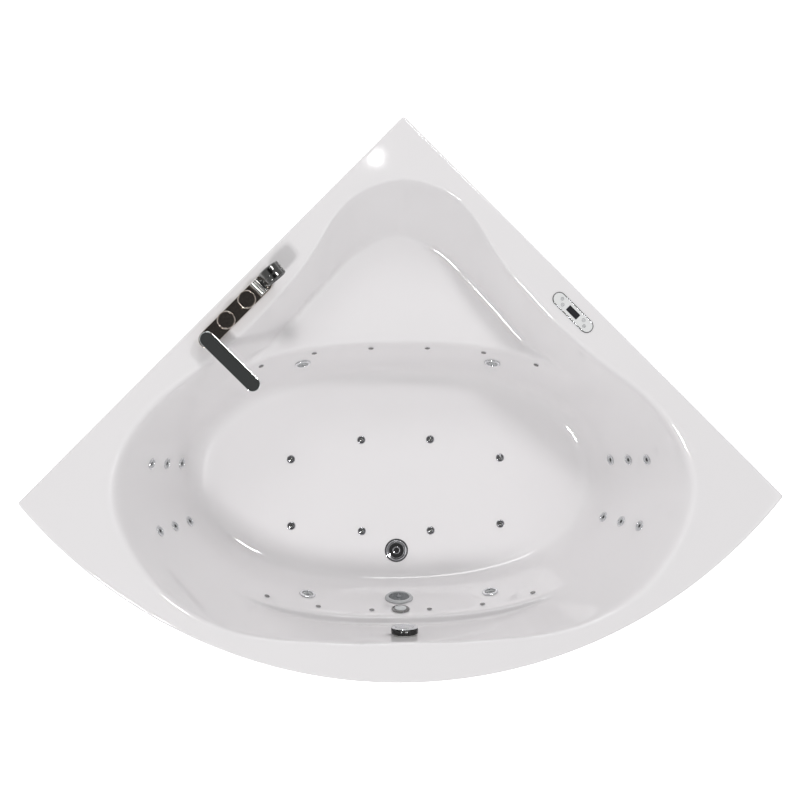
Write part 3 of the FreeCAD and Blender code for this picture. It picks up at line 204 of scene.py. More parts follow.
ACRYLIC = Finish("white_acrylic", (0.835, 0.818, 0.826), 0.06, coat=0.5, grain_size=0.25,
                 colour_spread=0.006, roughness_spread=0.012, bump=0.006)
CHROME = Finish("polished_chrome", (0.80, 0.81, 0.83), 0.05, metallic=1.0, grain_size=0.03,
                colour_spread=0.015, roughness_spread=0.015, bump=0.01)
# Tap chrome with a brownish, darkened base colour: a painted reflection of brown surroundings.
BROWN_REFLECTION_CHROME = Finish("chrome_painted_brown_reflection", (0.56, 0.50, 0.45), 0.08, metallic=1.0, grain_size=0.006,
                      colour_spread=0.10, roughness_spread=0.03, bump=0.06)
SPOUT_CHROME = Finish("spout_chrome", (0.86, 0.90, 0.90), 0.06, metallic=1.0, grain_size=0.04,
                      colour_spread=0.02, roughness_spread=0.02, bump=0.02)
# Chrome painted mid grey: a painted dark reflection in place of bright chrome.
GREY_REFLECTION_CHROME = Finish("chrome_painted_grey_reflection", (0.24, 0.24, 0.235), 0.06, metallic=1.0, grain_size=0.008,
                       colour_spread=0.10, roughness_spread=0.03, bump=0.03)
# Chrome painted dark grey: a painted dark reflection in place of bright chrome.
DARK_REFLECTION_CHROME = Finish("dark_chrome", (0.11, 0.11, 0.115), 0.16, metallic=1.0, grain_size=0.01,
                     colour_spread=0.06, roughness_spread=0.04, bump=0.05)
RIBBED_CHROME = Finish("ribbed_chrome", (0.50, 0.50, 0.49), 0.06, metallic=1.0, grain_size=0.008,
                       colour_spread=0.06, roughness_spread=0.03, bump=0.03)
# Chrome of the shower head painted dark: a painted dark reflection.
HEAD_REFLECTION_CHROME = Finish("shower_head_painted_dark_reflection", (0.15, 0.15, 0.148), 0.06, metallic=1.0, grain_size=0.008,
                     colour_spread=0.06, roughness_spread=0.03, bump=0.03)
# Chrome painted nearly black: a painted dark reflection, for a knob that is chrome all over.
BLACK_REFLECTION_CHROME = Finish("chrome_painted_black_reflection", (0.055, 0.055, 0.055), 0.05, metallic=1.0, grain_size=0.008,
                      colour_spread=0.10, roughness_spread=0.02, bump=0.03)
# Near black for painted shade: dark discs put in openings and behind the grille where there is only shade.
SHADOW_BLACK = Finish("painted_shade_black", (0.012, 0.012, 0.013), 0.45, grain_size=0.004,
                      colour_spread=0.2, bump=0.2)
JET_GREY = Finish("pale_jet_plastic", (0.50, 0.51, 0.52), 0.24, grain_size=0.006, bump=0.06)
GRILLE_GREY = Finish("grille_plastic", (0.22, 0.23, 0.24), 0.26, grain_size=0.006, bump=0.08)
LENS = Finish("frosted_lens", (0.62, 0.64, 0.65), 0.18, coat=0.5, grain_size=0.003, bump=0.25)
KEYPAD_SILVER = Finish("keypad_film", (0.76, 0.765, 0.765), 0.30, grain_size=0.003,
                       colour_spread=0.03, bump=0.12)
BUTTON_WHITE = Finish("button_film", (0.76, 0.77, 0.78), 0.28, grain_size=0.002, bump=0.1)
ICON_GREY = Finish("icon_print", (0.06, 0.06, 0.065), 0.4, grain_size=0.001, bump=0.05)
SCREEN = Finish("display_glass", (0.008, 0.008, 0.009), 0.12, coat=0.2, grain_size=0.01,
                roughness_spread=0.02, bump=0.01)
STEEL_PAINT = Finish("zinc_paint", (0.42, 0.43, 0.45), 0.42, metallic=0.4, grain_size=0.008,
                     colour_spread=0.08, roughness_spread=0.08, bump=0.25)
ZINC = Finish("zinc_plate", (0.58, 0.59, 0.60), 0.30, metallic=1.0, grain=Grain.BRUSHED, grain_size=0.004,
              colour_spread=0.07, roughness_spread=0.08, bump=0.15)
STEEL = Finish("ground_steel", (0.52, 0.53, 0.54), 0.24, metallic=1.0, grain=Grain.TURNED, grain_size=0.004,
               colour_spread=0.05, bump=0.1)
BOARD = Finish("coated_board", (0.40, 0.29, 0.18), 0.55, coat=0.15, grain=Grain.BOARD, grain_size=0.012,
               colour_spread=0.22, roughness_spread=0.08, bump=0.4, bump_depth=0.0003)
MOTOR_PAINT = Finish("motor_paint", (0.055, 0.06, 0.068), 0.38, grain_size=0.003, colour_spread=0.12,
                     roughness_spread=0.06, bump=0.4)
BLACK_PLASTIC = Finish("black_moulding", (0.025, 0.025, 0.028), 0.42, grain_size=0.0015,
                       colour_spread=0.15, roughness_spread=0.06, bump=0.5)
BOX_PLASTIC = Finish("grey_moulding", (0.45, 0.46, 0.47), 0.38, grain_size=0.0015, colour_spread=0.04,
                     bump=0.4)
PIPE_WHITE = Finish("pipe_plastic", (0.72, 0.72, 0.70), 0.33, grain_size=0.02, colour_spread=0.03,
                    roughness_spread=0.06, bump=0.1)
RUBBER = Finish("black_rubber", (0.02, 0.02, 0.02), 0.62, grain_size=0.002, colour_spread=0.2, bump=0.5)


# ---------------------------------------------------------------- mesh helpers


def circle_point(radius: float, degrees: float) -> Point2:
    """Point of a circle about the origin."""
    return radius * math.cos(math.radians(degrees)), radius * math.sin(math.radians(degrees))


def softened(points: Sequence[Point2], radius: float, closed: bool = False, steps: int = 4) -> list[Point2]:
    """Round the corners of an outline or profile.

    Args:
        points: The corners in order.
        radius: How far along each side the rounding starts, at most.
        closed: Whether the last point joins the first.
        steps: Points per rounded corner, less one.

    Returns:
        The points of the rounded line.
    """
    count = len(points)
    out: list[Point2] = []
    for index, here in enumerate(points):
        if not closed and index in (0, count - 1):
            out.append(here)
            continue
        corner = Vector(here)
        before, after = Vector(points[index - 1]), Vector(points[(index + 1) % count])
        reach = min(radius, (before - corner).length * 0.45, (after - corner).length * 0.45)
        start = corner + (before - corner).normalized() * reach
        end = corner + (after - corner).normalized() * reach
        for step in range(steps + 1):
            part = step / steps
            place = start * (1 - part) ** 2 + corner * 2 * part * (1 - part) + end * part ** 2
            out.append((place.x, place.y))
    return out


def stadium_outline(length: float, radius: float, steps: int = 20) -> list[Point2]:
    """Outline with round ends centred at x = 0 and x = length, counter-clockwise.

    Args:
        length: Distance between the centres of the ends.
        radius: Radius of the ends.
        steps: Points per round end, less one.

    Returns:
        The points.
    """
    right = [circle_point(radius, -90.0 + 180.0 * step / steps) for step in range(steps + 1)]
    left = [circle_point(radius, 90.0 + 180.0 * step / steps) for step in range(steps + 1)]
    return [(x + length, y) for x, y in right] + left


def ring_outline(radius: float, count: int = 48) -> list[Point2]:
    """Round outline, counter-clockwise."""
    return [circle_point(radius, 360.0 * step / count) for step in range(count)]


def fluted(count: int, depth: float, sharpness: int = 1) -> Callable[[float], float]:
    """Factor on a radius that cuts grip grooves round it.

    Args:
        count: Number of grooves.
        depth: Their depth as a share of the radius.
        sharpness: How narrow they are; higher is narrower.

    Returns:
        The factor by angle in degrees.
    """

    def factor(turn: float) -> float:
        """Factor at an angle."""
        return 1.0 - depth * max(0.0, math.cos(math.radians(float(count) * turn))) ** sharpness

    return factor


class Draft:
    """Vertices and faces of one piece in the making."""

    def __init__(self) -> None:
        """Start empty."""
        self.points: list[Vector] = []
        self.faces: list[list[int]] = []

    def add(self, points: Iterable[Sequence[float]], faces: Iterable[Sequence[int]],
            site: Optional[Matrix] = None) -> None:
        """Add a ready form.

        Args:
            points: Its vertices.
            faces: Its faces as indices of these vertices.
            site: Where it goes, or None to leave it where it is drawn.
        """
        start = len(self.points)
        move = site or Matrix.Identity(4)
        self.points += [move @ Vector(point) for point in points]
        self.faces += [[start + index for index in face] for face in faces]

    def turned(self, profile: Sequence[Point2], site: Optional[Matrix] = None, segments: int = 48,
               closed: bool = False, flute: Optional[Callable[[float], float]] = None) -> None:
        """Turn a profile about Z.

        Args:
            profile: (radius, height) points, outside upwards.
            site: Where it goes.
            segments: Steps round the axis.
            closed: Whether the profile is a loop round a hole, rather than ending on the axis.
            flute: Factor on the radius by angle in degrees, for grips.
        """
        points, faces = [], []
        rows = len(profile)
        for radius, height in profile:
            for step in range(segments):
                turn = 360.0 * step / segments
                wide = radius * (flute(turn) if flute else 1.0)
                points.append((*circle_point(wide, turn), height))
        for row in range(rows if closed else rows - 1):
            low, high = row * segments, ((row + 1) % rows) * segments
            for step in range(segments):
                after = (step + 1) % segments
                faces.append([low + step, low + after, high + after, high + step])
        if not closed:
            faces.append(list(range(segments - 1, -1, -1)))
            faces.append(list(range((rows - 1) * segments, rows * segments)))
        self.add(points, faces, site)

    def prism(self, outline: Sequence[Point2], low: float, high: float, site: Optional[Matrix] = None) -> None:
        """Raise an outline.

        Args:
            outline: Its points, counter-clockwise.
            low: Height of its underside.
            high: Height of its top.
            site: Where it goes.
        """
        count = len(outline)
        points = [(x, y, low) for x, y in outline] + [(x, y, high) for x, y in outline]
        faces = [list(range(count - 1, -1, -1)), list(range(count, 2 * count))]
        for index in range(count):
            after = (index + 1) % count
            faces.append([index, after, count + after, count + index])
        self.add(points, faces, site)

    def frame(self, outer: Sequence[Point2], inner: Sequence[Point2], low: float, high: float,
              site: Optional[Matrix] = None) -> None:
        """Raise a frame between two outlines of equally many points.

        Args:
            outer: Outside, counter-clockwise.
            inner: Inside, counter-clockwise.
            low: Height of its underside.
            high: Height of its top.
            site: Where it goes.
        """
        count = len(outer)
        points = [(x, y, z) for line, z in ((outer, low), (outer, high), (inner, high), (inner, low))
                  for x, y in line]
        faces = []
        for row in range(4):
            here, there = row * count, ((row + 1) % 4) * count
            for index in range(count):
                after = (index + 1) % count
                faces.append([here + index, here + after, there + after, there + index])
        self.add(points, faces, site)

    def block(self, low: Sequence[float], high: Sequence[float], site: Optional[Matrix] = None) -> None:
        """Add a box between two corners."""
        outline = [(low[0], low[1]), (high[0], low[1]), (high[0], high[1]), (low[0], high[1])]
        self.prism(outline, low[2], high[2], site)

    def finish(self, name: str, finish: Finish, bevel: float = 0.0, crease: float = 35.0) -> bpy.types.Object:
        """Make the piece.

        Args:
            name: Its name.
            finish: What it is made of.
            bevel: Width of its broken edges, or 0 for none.
            crease: Angle in degrees up to which it is shaded smooth.

        Returns:
            The object, in the scene.
        """
        mesh = bpy.data.meshes.new(name)
        mesh.from_pydata([tuple(point) for point in self.points], [], self.faces)
        mesh.materials.append(finish.material())
        mesh.polygons.foreach_set("use_smooth", [True] * len(mesh.polygons))
        mesh.set_sharp_from_angle(angle=math.radians(crease))
        piece = bpy.data.objects.new(name, mesh)
        bpy.context.scene.collection.objects.link(piece)
        if bevel:
            edges = piece.modifiers.new("broken_edges", "BEVEL")
            edges.width = bevel
            edges.segments = 3
            edges.limit_method = "ANGLE"
            edges.angle_limit = math.radians(crease)
            normals = piece.modifiers.new("face_normals", "WEIGHTED_NORMAL")
            normals.keep_sharp = True
        return piece


def seated(piece: bpy.types.Object, body: str, replaces: Sequence[str] = ()) -> bpy.types.Object:
    """Tie a piece to its body and report it.

    Args:
        piece: The piece, in place.
        body: The body that it moves with.
        replaces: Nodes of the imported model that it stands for.

    Returns:
        The piece.
    """
    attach(piece, body)
    if replaces:
        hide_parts(*replaces)
    log.info("%s rides on %s", piece.name, body)
    return piece


def axes_site(place: Vector, across: Vector, up: Vector, out: Vector) -> Matrix:
    """Matrix that puts X, Y and Z of a drawing along three directions at a place."""
    turn = Matrix((across, up, out)).transposed().to_4x4()
    return Matrix.Translation(place) @ turn


# ---------------------------------------------------------------- the moulded bath


@dataclass
class MouldedBath:
    """The one-piece acrylic bath: flat deck, turned-down lip, oval well, seat and backrests."""

    wall_side: float = 1.500
    front_sagitta: float = 0.506
    rim_height: float = 0.600
    seat_height: float = 0.380
    floor_height: float = 0.150
    thickness: float = 0.006
    lip_depth: float = 0.040
    corner_radius: float = 0.008
    edge_radius: float = 0.0065
    outline_slack: float = 0.0003
    centre_y: float = -0.230
    rim: tuple[Point2, ...] = (
        (0, -669), (215, -666), (367, -655), (513, -620), (663, -530), (773, -372), (806, -245),
        (792, -175), (748, -85), (664, 10), (599, 60), (520, 120), (416, 211), (344, 290),
        (300, 340), (261, 390), (223, 452), (194, 510), (155, 555), (100, 587), (0, 613),
    )
    step_widths: tuple[Point2, ...] = (
        (-90, 26), (-60, 26), (-40, 17), (-28, 0), (26, 0), (34, 8), (40, 18), (46, 36),
        (59, 117), (71, 200), (80, 272), (90, 314),
    )
    well: tuple[float, float, float] = (0.705, 0.394, 2.4)
    bottom: tuple[float, float, float] = (0.597, 0.320, 2.3)
    blend_ends: float = 0.140
    blend_sides: float = 0.058
    blend_rise: float = 0.110
    step_blend: float = 0.030
    edge_blend: float = 0.028
    lip_reach_sides: float = 0.018
    lip_reach_ends: float = 0.050
    pole_count: int = 72
    columns_round: int = 300
    corner_steps: int = 6
    rows_inside: int = 88
    rows_outside: int = 34
    inner: np.ndarray = field(init=False)
    outer: np.ndarray = field(init=False)

    def __post_init__(self) -> None:
        """Work out the plan and the control nets of both skins."""
        self.half_span = self.wall_side / math.sqrt(2.0)
        depth = self.half_span + self.front_sagitta
        self.front_y = -(depth - self.corner_radius * (math.sqrt(2.0) - 1.0)) / 2.0
        self.apex_y = self.front_y + depth
        self.side_y = self.apex_y - self.half_span
        self.front_radius = (self.half_span ** 2 + self.front_sagitta ** 2) / (2.0 * self.front_sagitta)
        self.front_centre = Vector((0.0, self.front_y + self.front_radius))
        places = [
            (math.degrees(math.atan2(y * MM - self.centre_y, x * MM)), math.hypot(x * MM, y * MM - self.centre_y))
            for x, y in self.rim
        ]
        self.rim_radius = self._level_curve(places)
        self.step_width = self._level_curve([(angle, width * MM) for angle, width in self.step_widths])
        self.inner = self._net(0.0)
        self.outer = self._net(self.thickness)

    @staticmethod
    def _level_curve(knots: Sequence[Point2]) -> Callable[[float], float]:
        """Smooth function through knots that is level at both ends.

        Args:
            knots: (place, value) pairs in order of place.

        Returns:
            The function.
        """
        places = [place for place, value in knots]
        values = [value for place, value in knots]
        inner = [
            (values[index + 1] - values[index - 1]) / (places[index + 1] - places[index - 1])
            for index in range(1, len(knots) - 1)
        ]
        slopes = [0.0, *inner, 0.0]

        def curve(place: float) -> float:
            """Value at a place.

            Args:
                place: Anywhere between the first and the last knot.

            Returns:
                The value.
            """
            index = min(max(int(np.searchsorted(places, place)) - 1, 0), len(places) - 2)
            span = places[index + 1] - places[index]
            part = (place - places[index]) / span
            rise = values[index + 1] - values[index]
            start, end = slopes[index] * span, slopes[index + 1] * span
            bend = start + end - 2.0 * rise
            return values[index] + part * (start + part * (3.0 * rise - 2.0 * start - end + part * bend))

        return curve

    @staticmethod
    def _oval(shape: tuple[float, float, float], angle: float) -> float:
        """Distance from the middle of a squared oval to its edge.

        Args:
            shape: Half length, half width and the power that squares it.
            angle: Direction in degrees.

        Returns:
            The distance.
        """
        across, along = circle_point(1.0, angle)
        power = shape[2]
        return ((abs(across) / shape[0]) ** power + (abs(along) / shape[1]) ** power) ** (-1.0 / power)

    def corners(self, angle: float) -> list[Point2]:
        """Corners (radius, height) of the wall's section.

        Args:
            angle: Direction from the middle of the well, in degrees.

        Returns:
            Rim, back of the step, front of the step, bottom.
        """
        turn = math.degrees(math.asin(math.sin(math.radians(angle))))
        rim = self.rim_radius(turn)
        well, bottom = self._oval(self.well, angle), self._oval(self.bottom, angle)
        width = max(0.0, self.step_width(turn))
        clamped = min(1.0, width / 0.022)
        has_step = clamped * clamped * (3.0 - 2.0 * clamped)
        slope = (rim - bottom) / (self.rim_height - self.floor_height)

        def blended(radius: float, height: float) -> Point2:
            """Corner of the step, or a point of the plain wall where there is no step."""
            plain = bottom + slope * (height - self.floor_height)
            return plain + has_step * (radius - plain), height + has_step * (self.seat_height - height)

        fade = 0.025
        return [
            (rim, self.rim_height), blended(well + width, self.seat_height + fade),
            blended(well, self.seat_height - fade), (bottom, self.floor_height),
        ]

    def section(self, angle: float) -> list[Point2]:
        """Control points (radius, height) of the inner face, from the deck to the bottom.

        Args:
            angle: Direction from the middle of the well, in degrees.

        Returns:
            The fourteen control points.
        """
        rim, back, front, bottom = self.corners(angle)
        sideways = math.cos(math.radians(angle)) ** 2
        reach = self.lip_reach_sides + (self.lip_reach_ends - self.lip_reach_sides) * sideways ** 2
        blend = self.blend_sides + (self.blend_ends - self.blend_sides) * sideways

        def towards(start: Point2, end: Point2, distance: float) -> Point2:
            """Point a distance from start on the way to end."""
            part = min(distance / math.hypot(end[0] - start[0], end[1] - start[1]), 0.45)
            return start[0] + part * (end[0] - start[0]), start[1] + part * (end[1] - start[1])

        return [
            (rim[0] + reach, self.rim_height), (rim[0] + 0.45 * reach, self.rim_height), rim,
            towards(rim, back, 0.9 * reach), towards(back, rim, self.step_blend), back,
            towards(back, front, self.step_blend), towards(front, back, self.edge_blend), front,
            towards(front, bottom, self.edge_blend), towards(bottom, front, self.blend_rise), bottom,
            (bottom[0] - 0.45 * blend, self.floor_height), (bottom[0] - blend, self.floor_height),
        ]

    @staticmethod
    def _moved_out(section: Sequence[Point2], distance: float) -> list[Point2]:
        """Move a section outwards, square to its own run.

        Args:
            section: Its points.
            distance: How far.

        Returns:
            The moved points.
        """
        moved = [(section[0][0], section[0][1] - distance)]
        for before, here, after in zip(section, section[1:], section[2:]):
            first = math.atan2(here[1] - before[1], here[0] - before[0])
            turn = math.atan2(after[1] - here[1], after[0] - here[0]) - first
            turn -= 2.0 * math.pi * round(turn / (2.0 * math.pi))
            middle = first + turn / 2.0
            length = distance / max(0.5, math.cos(turn / 2.0))
            moved.append((here[0] - length * math.sin(middle), here[1] + length * math.cos(middle)))
        return moved + [(section[-1][0], section[-1][1] - distance)]

    def _net(self, distance: float) -> np.ndarray:
        """Control net of a skin.

        Args:
            distance: How far outside the inner face it lies.

        Returns:
            Points by direction and by place along the section.
        """
        rows = []
        for step in range(self.pole_count):
            angle = 360.0 * step / self.pole_count
            across, along = circle_point(1.0, angle)
            section = self.section(angle)
            if distance:
                section = self._moved_out(section, distance)
            rows.append([(r * across, self.centre_y + r * along, z) for r, z in section])
        return np.array(rows)

    def _round_weights(self, angle: float) -> np.ndarray:
        """Weights of the directions of a net at an angle, for a closed cubic curve.

        Args:
            angle: Direction from the middle of the well, in degrees.

        Returns:
            One weight per direction of the net.
        """
        place = (angle / 360.0 * self.pole_count) % self.pole_count
        index, part = int(place), place - int(place)
        weights = np.zeros(self.pole_count)
        for shift, value in zip(
            (-1, 0, 1, 2),
            ((1 - part) ** 3, 3 * part ** 3 - 6 * part ** 2 + 4, -3 * part ** 3 + 3 * part ** 2 + 3 * part + 1,
             part ** 3),
        ):
            weights[(index + shift) % self.pole_count] += value / 6.0
        return weights

    def _down_weights(self, place: float) -> np.ndarray:
        """Weights of a section's control points at a place from 0, the deck, to 11, the bottom.

        Args:
            place: How far down the section.

        Returns:
            One weight per control point.
        """
        count = self.inner_count()
        knots = [0.0] * 3 + list(range(count - 2)) + [count - 3.0] * 3
        place = min(place, count - 3.0 - 1e-9)
        weights = np.array([1.0 if knots[k] <= place < knots[k + 1] else 0.0 for k in range(len(knots) - 1)])
        for degree in range(1, 4):
            raised = []
            for k in range(len(weights) - 1):
                left, right = knots[k + degree] - knots[k], knots[k + degree + 1] - knots[k + 1]
                value = (place - knots[k]) / left * weights[k] if left else 0.0
                value += (knots[k + degree + 1] - place) / right * weights[k + 1] if right else 0.0
                raised.append(value)
            weights = np.array(raised)
        return weights

    def inner_count(self) -> int:
        """Number of control points in a section."""
        return len(self.section(0.0))

    def skin_point(self, angle: float, place: float, net: Optional[np.ndarray] = None) -> np.ndarray:
        """Point of a skin.

        Args:
            angle: Direction from the middle of the well, in degrees.
            place: How far down the section, from 0 to 11.
            net: Which skin; the inner one when left out.

        Returns:
            The point.
        """
        chosen = self.inner if net is None else net
        return np.einsum("i,j,ijk->k", self._round_weights(angle), self._down_weights(place), chosen)

    def wall_site(self, angle: float, height: float) -> Matrix:
        """Place on the inner wall: Z into the bath, Y up the wall, X level.

        Args:
            angle: Direction from the middle of the well, in degrees.
            height: Above the floor of the room.

        Returns:
            The place as a matrix.
        """
        corners = self.corners(angle)
        radius = corners[-1][0]
        for (upper, upper_z), (lower, lower_z) in reversed(list(zip(corners, corners[1:]))):
            if height > lower_z:
                part = min(1.0, (height - lower_z) / max(upper_z - lower_z, 1e-9))
                radius = lower + (upper - lower) * part
        across, along = circle_point(radius, angle)
        goal = np.array([across, self.centre_y + along, height])
        turn = angle
        heights = np.array([self.skin_point(angle, step / 10.0)[2] for step in range(111)])
        place = int(np.argmin(np.abs(heights - height))) / 10.0
        for _ in range(6):
            here = self.skin_point(turn, place)
            around = (self.skin_point(turn + 0.05, place) - self.skin_point(turn - 0.05, place)) / 0.1
            down = (self.skin_point(turn, place + 0.01) - self.skin_point(turn, place - 0.01)) / 0.02
            step = np.linalg.lstsq(np.stack([around, down], axis=1), goal - here, rcond=None)[0]
            turn, place = turn + step[0], place + step[1]
        inward = Vector(np.cross(around, down)).normalized()
        if inward.x * across + inward.y * along > 0:
            inward = -inward
        level = Vector((0.0, 0.0, 1.0)).cross(inward).normalized()
        return axes_site(Vector(self.skin_point(turn, place)), level, inward.cross(level), inward)

    def deck_site(self, side: int, along: float, inset: float) -> Matrix:
        """Place on the deck: X along the wall, Y towards the wall.

        Args:
            side: 1 on the right, -1 on the left.
            along: Distance along the wall from the corner of the room.
            inset: Distance from the wall.

        Returns:
            The place as a matrix.
        """
        half = math.sqrt(0.5)
        place = Vector((side * (along - inset) * half, self.apex_y - (along + inset) * half, self.rim_height))
        run = Vector((half, -side * half, 0.0))
        up = Vector((0.0, 0.0, 1.0))
        return axes_site(place, run, up.cross(run), up)

    def _edge_points(self) -> list[tuple[float, Vector, Vector]]:
        """Points round the outline of the deck.

        Returns:
            (angle from the middle of the well, point, outward direction), in order of angle.
        """
        half = math.sqrt(0.5)
        r = self.corner_radius
        apex = Vector((0.0, self.apex_y - r * math.sqrt(2.0)))
        right_out, left_out = Vector((half, half)), Vector((-half, half))
        inner_front = self.front_radius - r
        # The centre of a side corner is one radius inside both the wall and the front.
        offset = (self.apex_y - r * math.sqrt(2.0)) - self.front_centre.y
        root = math.sqrt(2.0 * inner_front ** 2 - offset ** 2)
        reach = (offset + root) / 2.0
        side = Vector((reach, self.apex_y - r * math.sqrt(2.0) - reach))
        found = []

        def note(point: Vector, out: Vector) -> None:
            """Keep a point with its angle."""
            angle = math.degrees(math.atan2(point.y - self.centre_y, point.x)) % 360.0
            found.append((angle, point - out * self.outline_slack, out))

        down = math.degrees(math.atan2(side.y - self.front_centre.y, side.x - self.front_centre.x))
        for centre, start, end in ((apex, 45.0, 135.0), (side, down, 45.0),
                                   (Vector((-side.x, side.y)), 135.0, 180.0 - down)):
            for step in range(self.corner_steps + 1):
                turn = start + (end - start) * step / self.corner_steps
                out = Vector(circle_point(1.0, turn))
                note(centre + out * r, out)
        spans = [(apex + right_out * r, side + right_out * r, right_out),
                 (apex + left_out * r, Vector((-side.x, side.y)) + left_out * r, left_out)]
        count = self.columns_round // 4
        for start, end, out in spans:
            for step in range(1, count):
                note(start.lerp(end, step / count), out)
        count = self.columns_round // 2
        for step in range(1, count):
            turn = down + (-180.0 - 2.0 * down) * step / count
            out = Vector(circle_point(1.0, turn))
            note(self.front_centre + out * self.front_radius, out)
        return sorted(found, key=lambda item: item[0])

    def _columns(self) -> tuple[list[list[Vector]], int]:
        """Closed sections of the whole bath, one per point of the outline.

        Returns:
            The columns, each from the bottom inside, over the deck and lip, to the bottom outside, and
            the number of points in each.
        """
        last = self.inner_count() - 3.0
        down_inside = [self._down_weights(last * step / self.rows_inside) for step in range(self.rows_inside + 1)]
        down_outside = [self._down_weights(last * step / self.rows_outside) for step in range(self.rows_outside + 1)]
        columns = []
        for angle, point, out in self._edge_points():
            around = self._round_weights(angle)
            inside = np.einsum("i,rj,ijk->rk", around, np.array(down_inside), self.inner)
            outside = np.einsum("i,rj,ijk->rk", around, np.array(down_outside), self.outer)
            column = [Vector(place) for place in reversed(inside)]
            edge = column[-1].copy()

            def at(inset: float, height: float) -> Vector:
                """Point inside the outline by an inset."""
                place = point - out * inset
                return Vector((place.x, place.y, height))

            top, bottom, e = self.rim_height, self.rim_height - self.lip_depth, self.edge_radius
            deck_end = at(e, top)
            column += [edge.lerp(deck_end, part) for part in (0.03, 0.25, 0.5, 0.75, 0.97)]
            column += [at(e - e * math.sin(turn), top - e + e * math.cos(turn))
                       for turn in (0.0, math.pi / 8, math.pi / 4, 3 * math.pi / 8, math.pi / 2)]
            column += [at(0.0, top - self.lip_depth * 0.5), at(0.0, bottom + 0.0012), at(0.0004, bottom + 0.0004),
                       at(0.0012, bottom), at(self.thickness - 0.001, bottom), at(self.thickness, bottom + 0.001),
                       at(self.thickness, top - self.thickness)]
            start = Vector(outside[0])
            column += [column[-1].lerp(start, part) for part in (0.05, 0.5, 0.95)]
            column += [Vector(place) for place in outside]
            columns.append(column)
        return columns, len(columns[0])

    def drill_sites(self, fittings: Sequence[tuple[Matrix, float]]) -> bpy.types.Object:
        """Bars where the fittings go through.

        Args:
            fittings: (site, hole radius) pairs.

        Returns:
            One object with all the bars.
        """
        draft = Draft()
        for site, radius in fittings:
            draft.turned([(radius, -0.03), (radius, 0.03)], site, 40)
        return draft.finish("drills", SHADOW_BLACK)

    def build(self, fittings: Sequence[tuple[Matrix, float]]) -> bpy.types.Object:
        """Make the bath's mesh with its holes.

        Args:
            fittings: (site, hole radius) pairs of the fittings that go through it.

        Returns:
            The bath.
        """
        columns, rows = self._columns()
        draft = Draft()
        points = [point for column in columns for point in column]
        faces = []
        count = len(columns)
        for index in range(count):
            here, there = index * rows, ((index + 1) % count) * rows
            for row in range(rows - 1):
                faces.append([here + row, here + row + 1, there + row + 1, there + row])
        for end, height, down in ((0, self.floor_height, False), (rows - 1, self.floor_height - self.thickness, True)):
            middle = Vector((0.0, self.centre_y, height))
            ring = [index * rows + end for index in range(count)]
            for part in (0.7, 0.4, 0.15):
                start = len(points)
                points += [middle.lerp(columns[index][end], part) for index in range(count)]
                for index in range(count):
                    after = (index + 1) % count
                    quad = [ring[index], ring[after], start + after, start + index]
                    faces.append(quad[::-1] if down else quad)
                ring = list(range(start, start + count))
            points.append(middle)
            for index in range(count):
                fan = [ring[index], ring[(index + 1) % count], len(points) - 1]
                faces.append(fan[::-1] if down else fan)
        draft.add(points, faces)
        bath = draft.finish("moulded_bath", ACRYLIC, crease=50.0)
        drills = self.drill_sites(fittings)
        whole = bath.copy()
        whole.data = bath.data.copy()
        bpy.context.scene.collection.objects.link(whole)
        holes = bath.modifiers.new("holes", "BOOLEAN")
        holes.operation = "DIFFERENCE"
        holes.solver = "EXACT"
        holes.object = drills
        gloss = bath.modifiers.new("even_gloss", "DATA_TRANSFER")
        gloss.object = whole
        gloss.use_loop_data = True
        gloss.data_types_loops = {"CUSTOM_NORMAL"}
        gloss.loop_mapping = "POLYINTERP_NEAREST"
        bpy.context.view_layer.update()
        result = bpy.data.meshes.new_from_object(bath.evaluated_get(bpy.context.evaluated_depsgraph_get()))
        bath.modifiers.clear()
        bath.data = result
        for helper in (drills, whole):
            bpy.data.objects.remove(helper)
        return seated(bath, BATH, ["bath_shell"])


# ---------------------------------------------------------------- fittings in the walls and the bottom


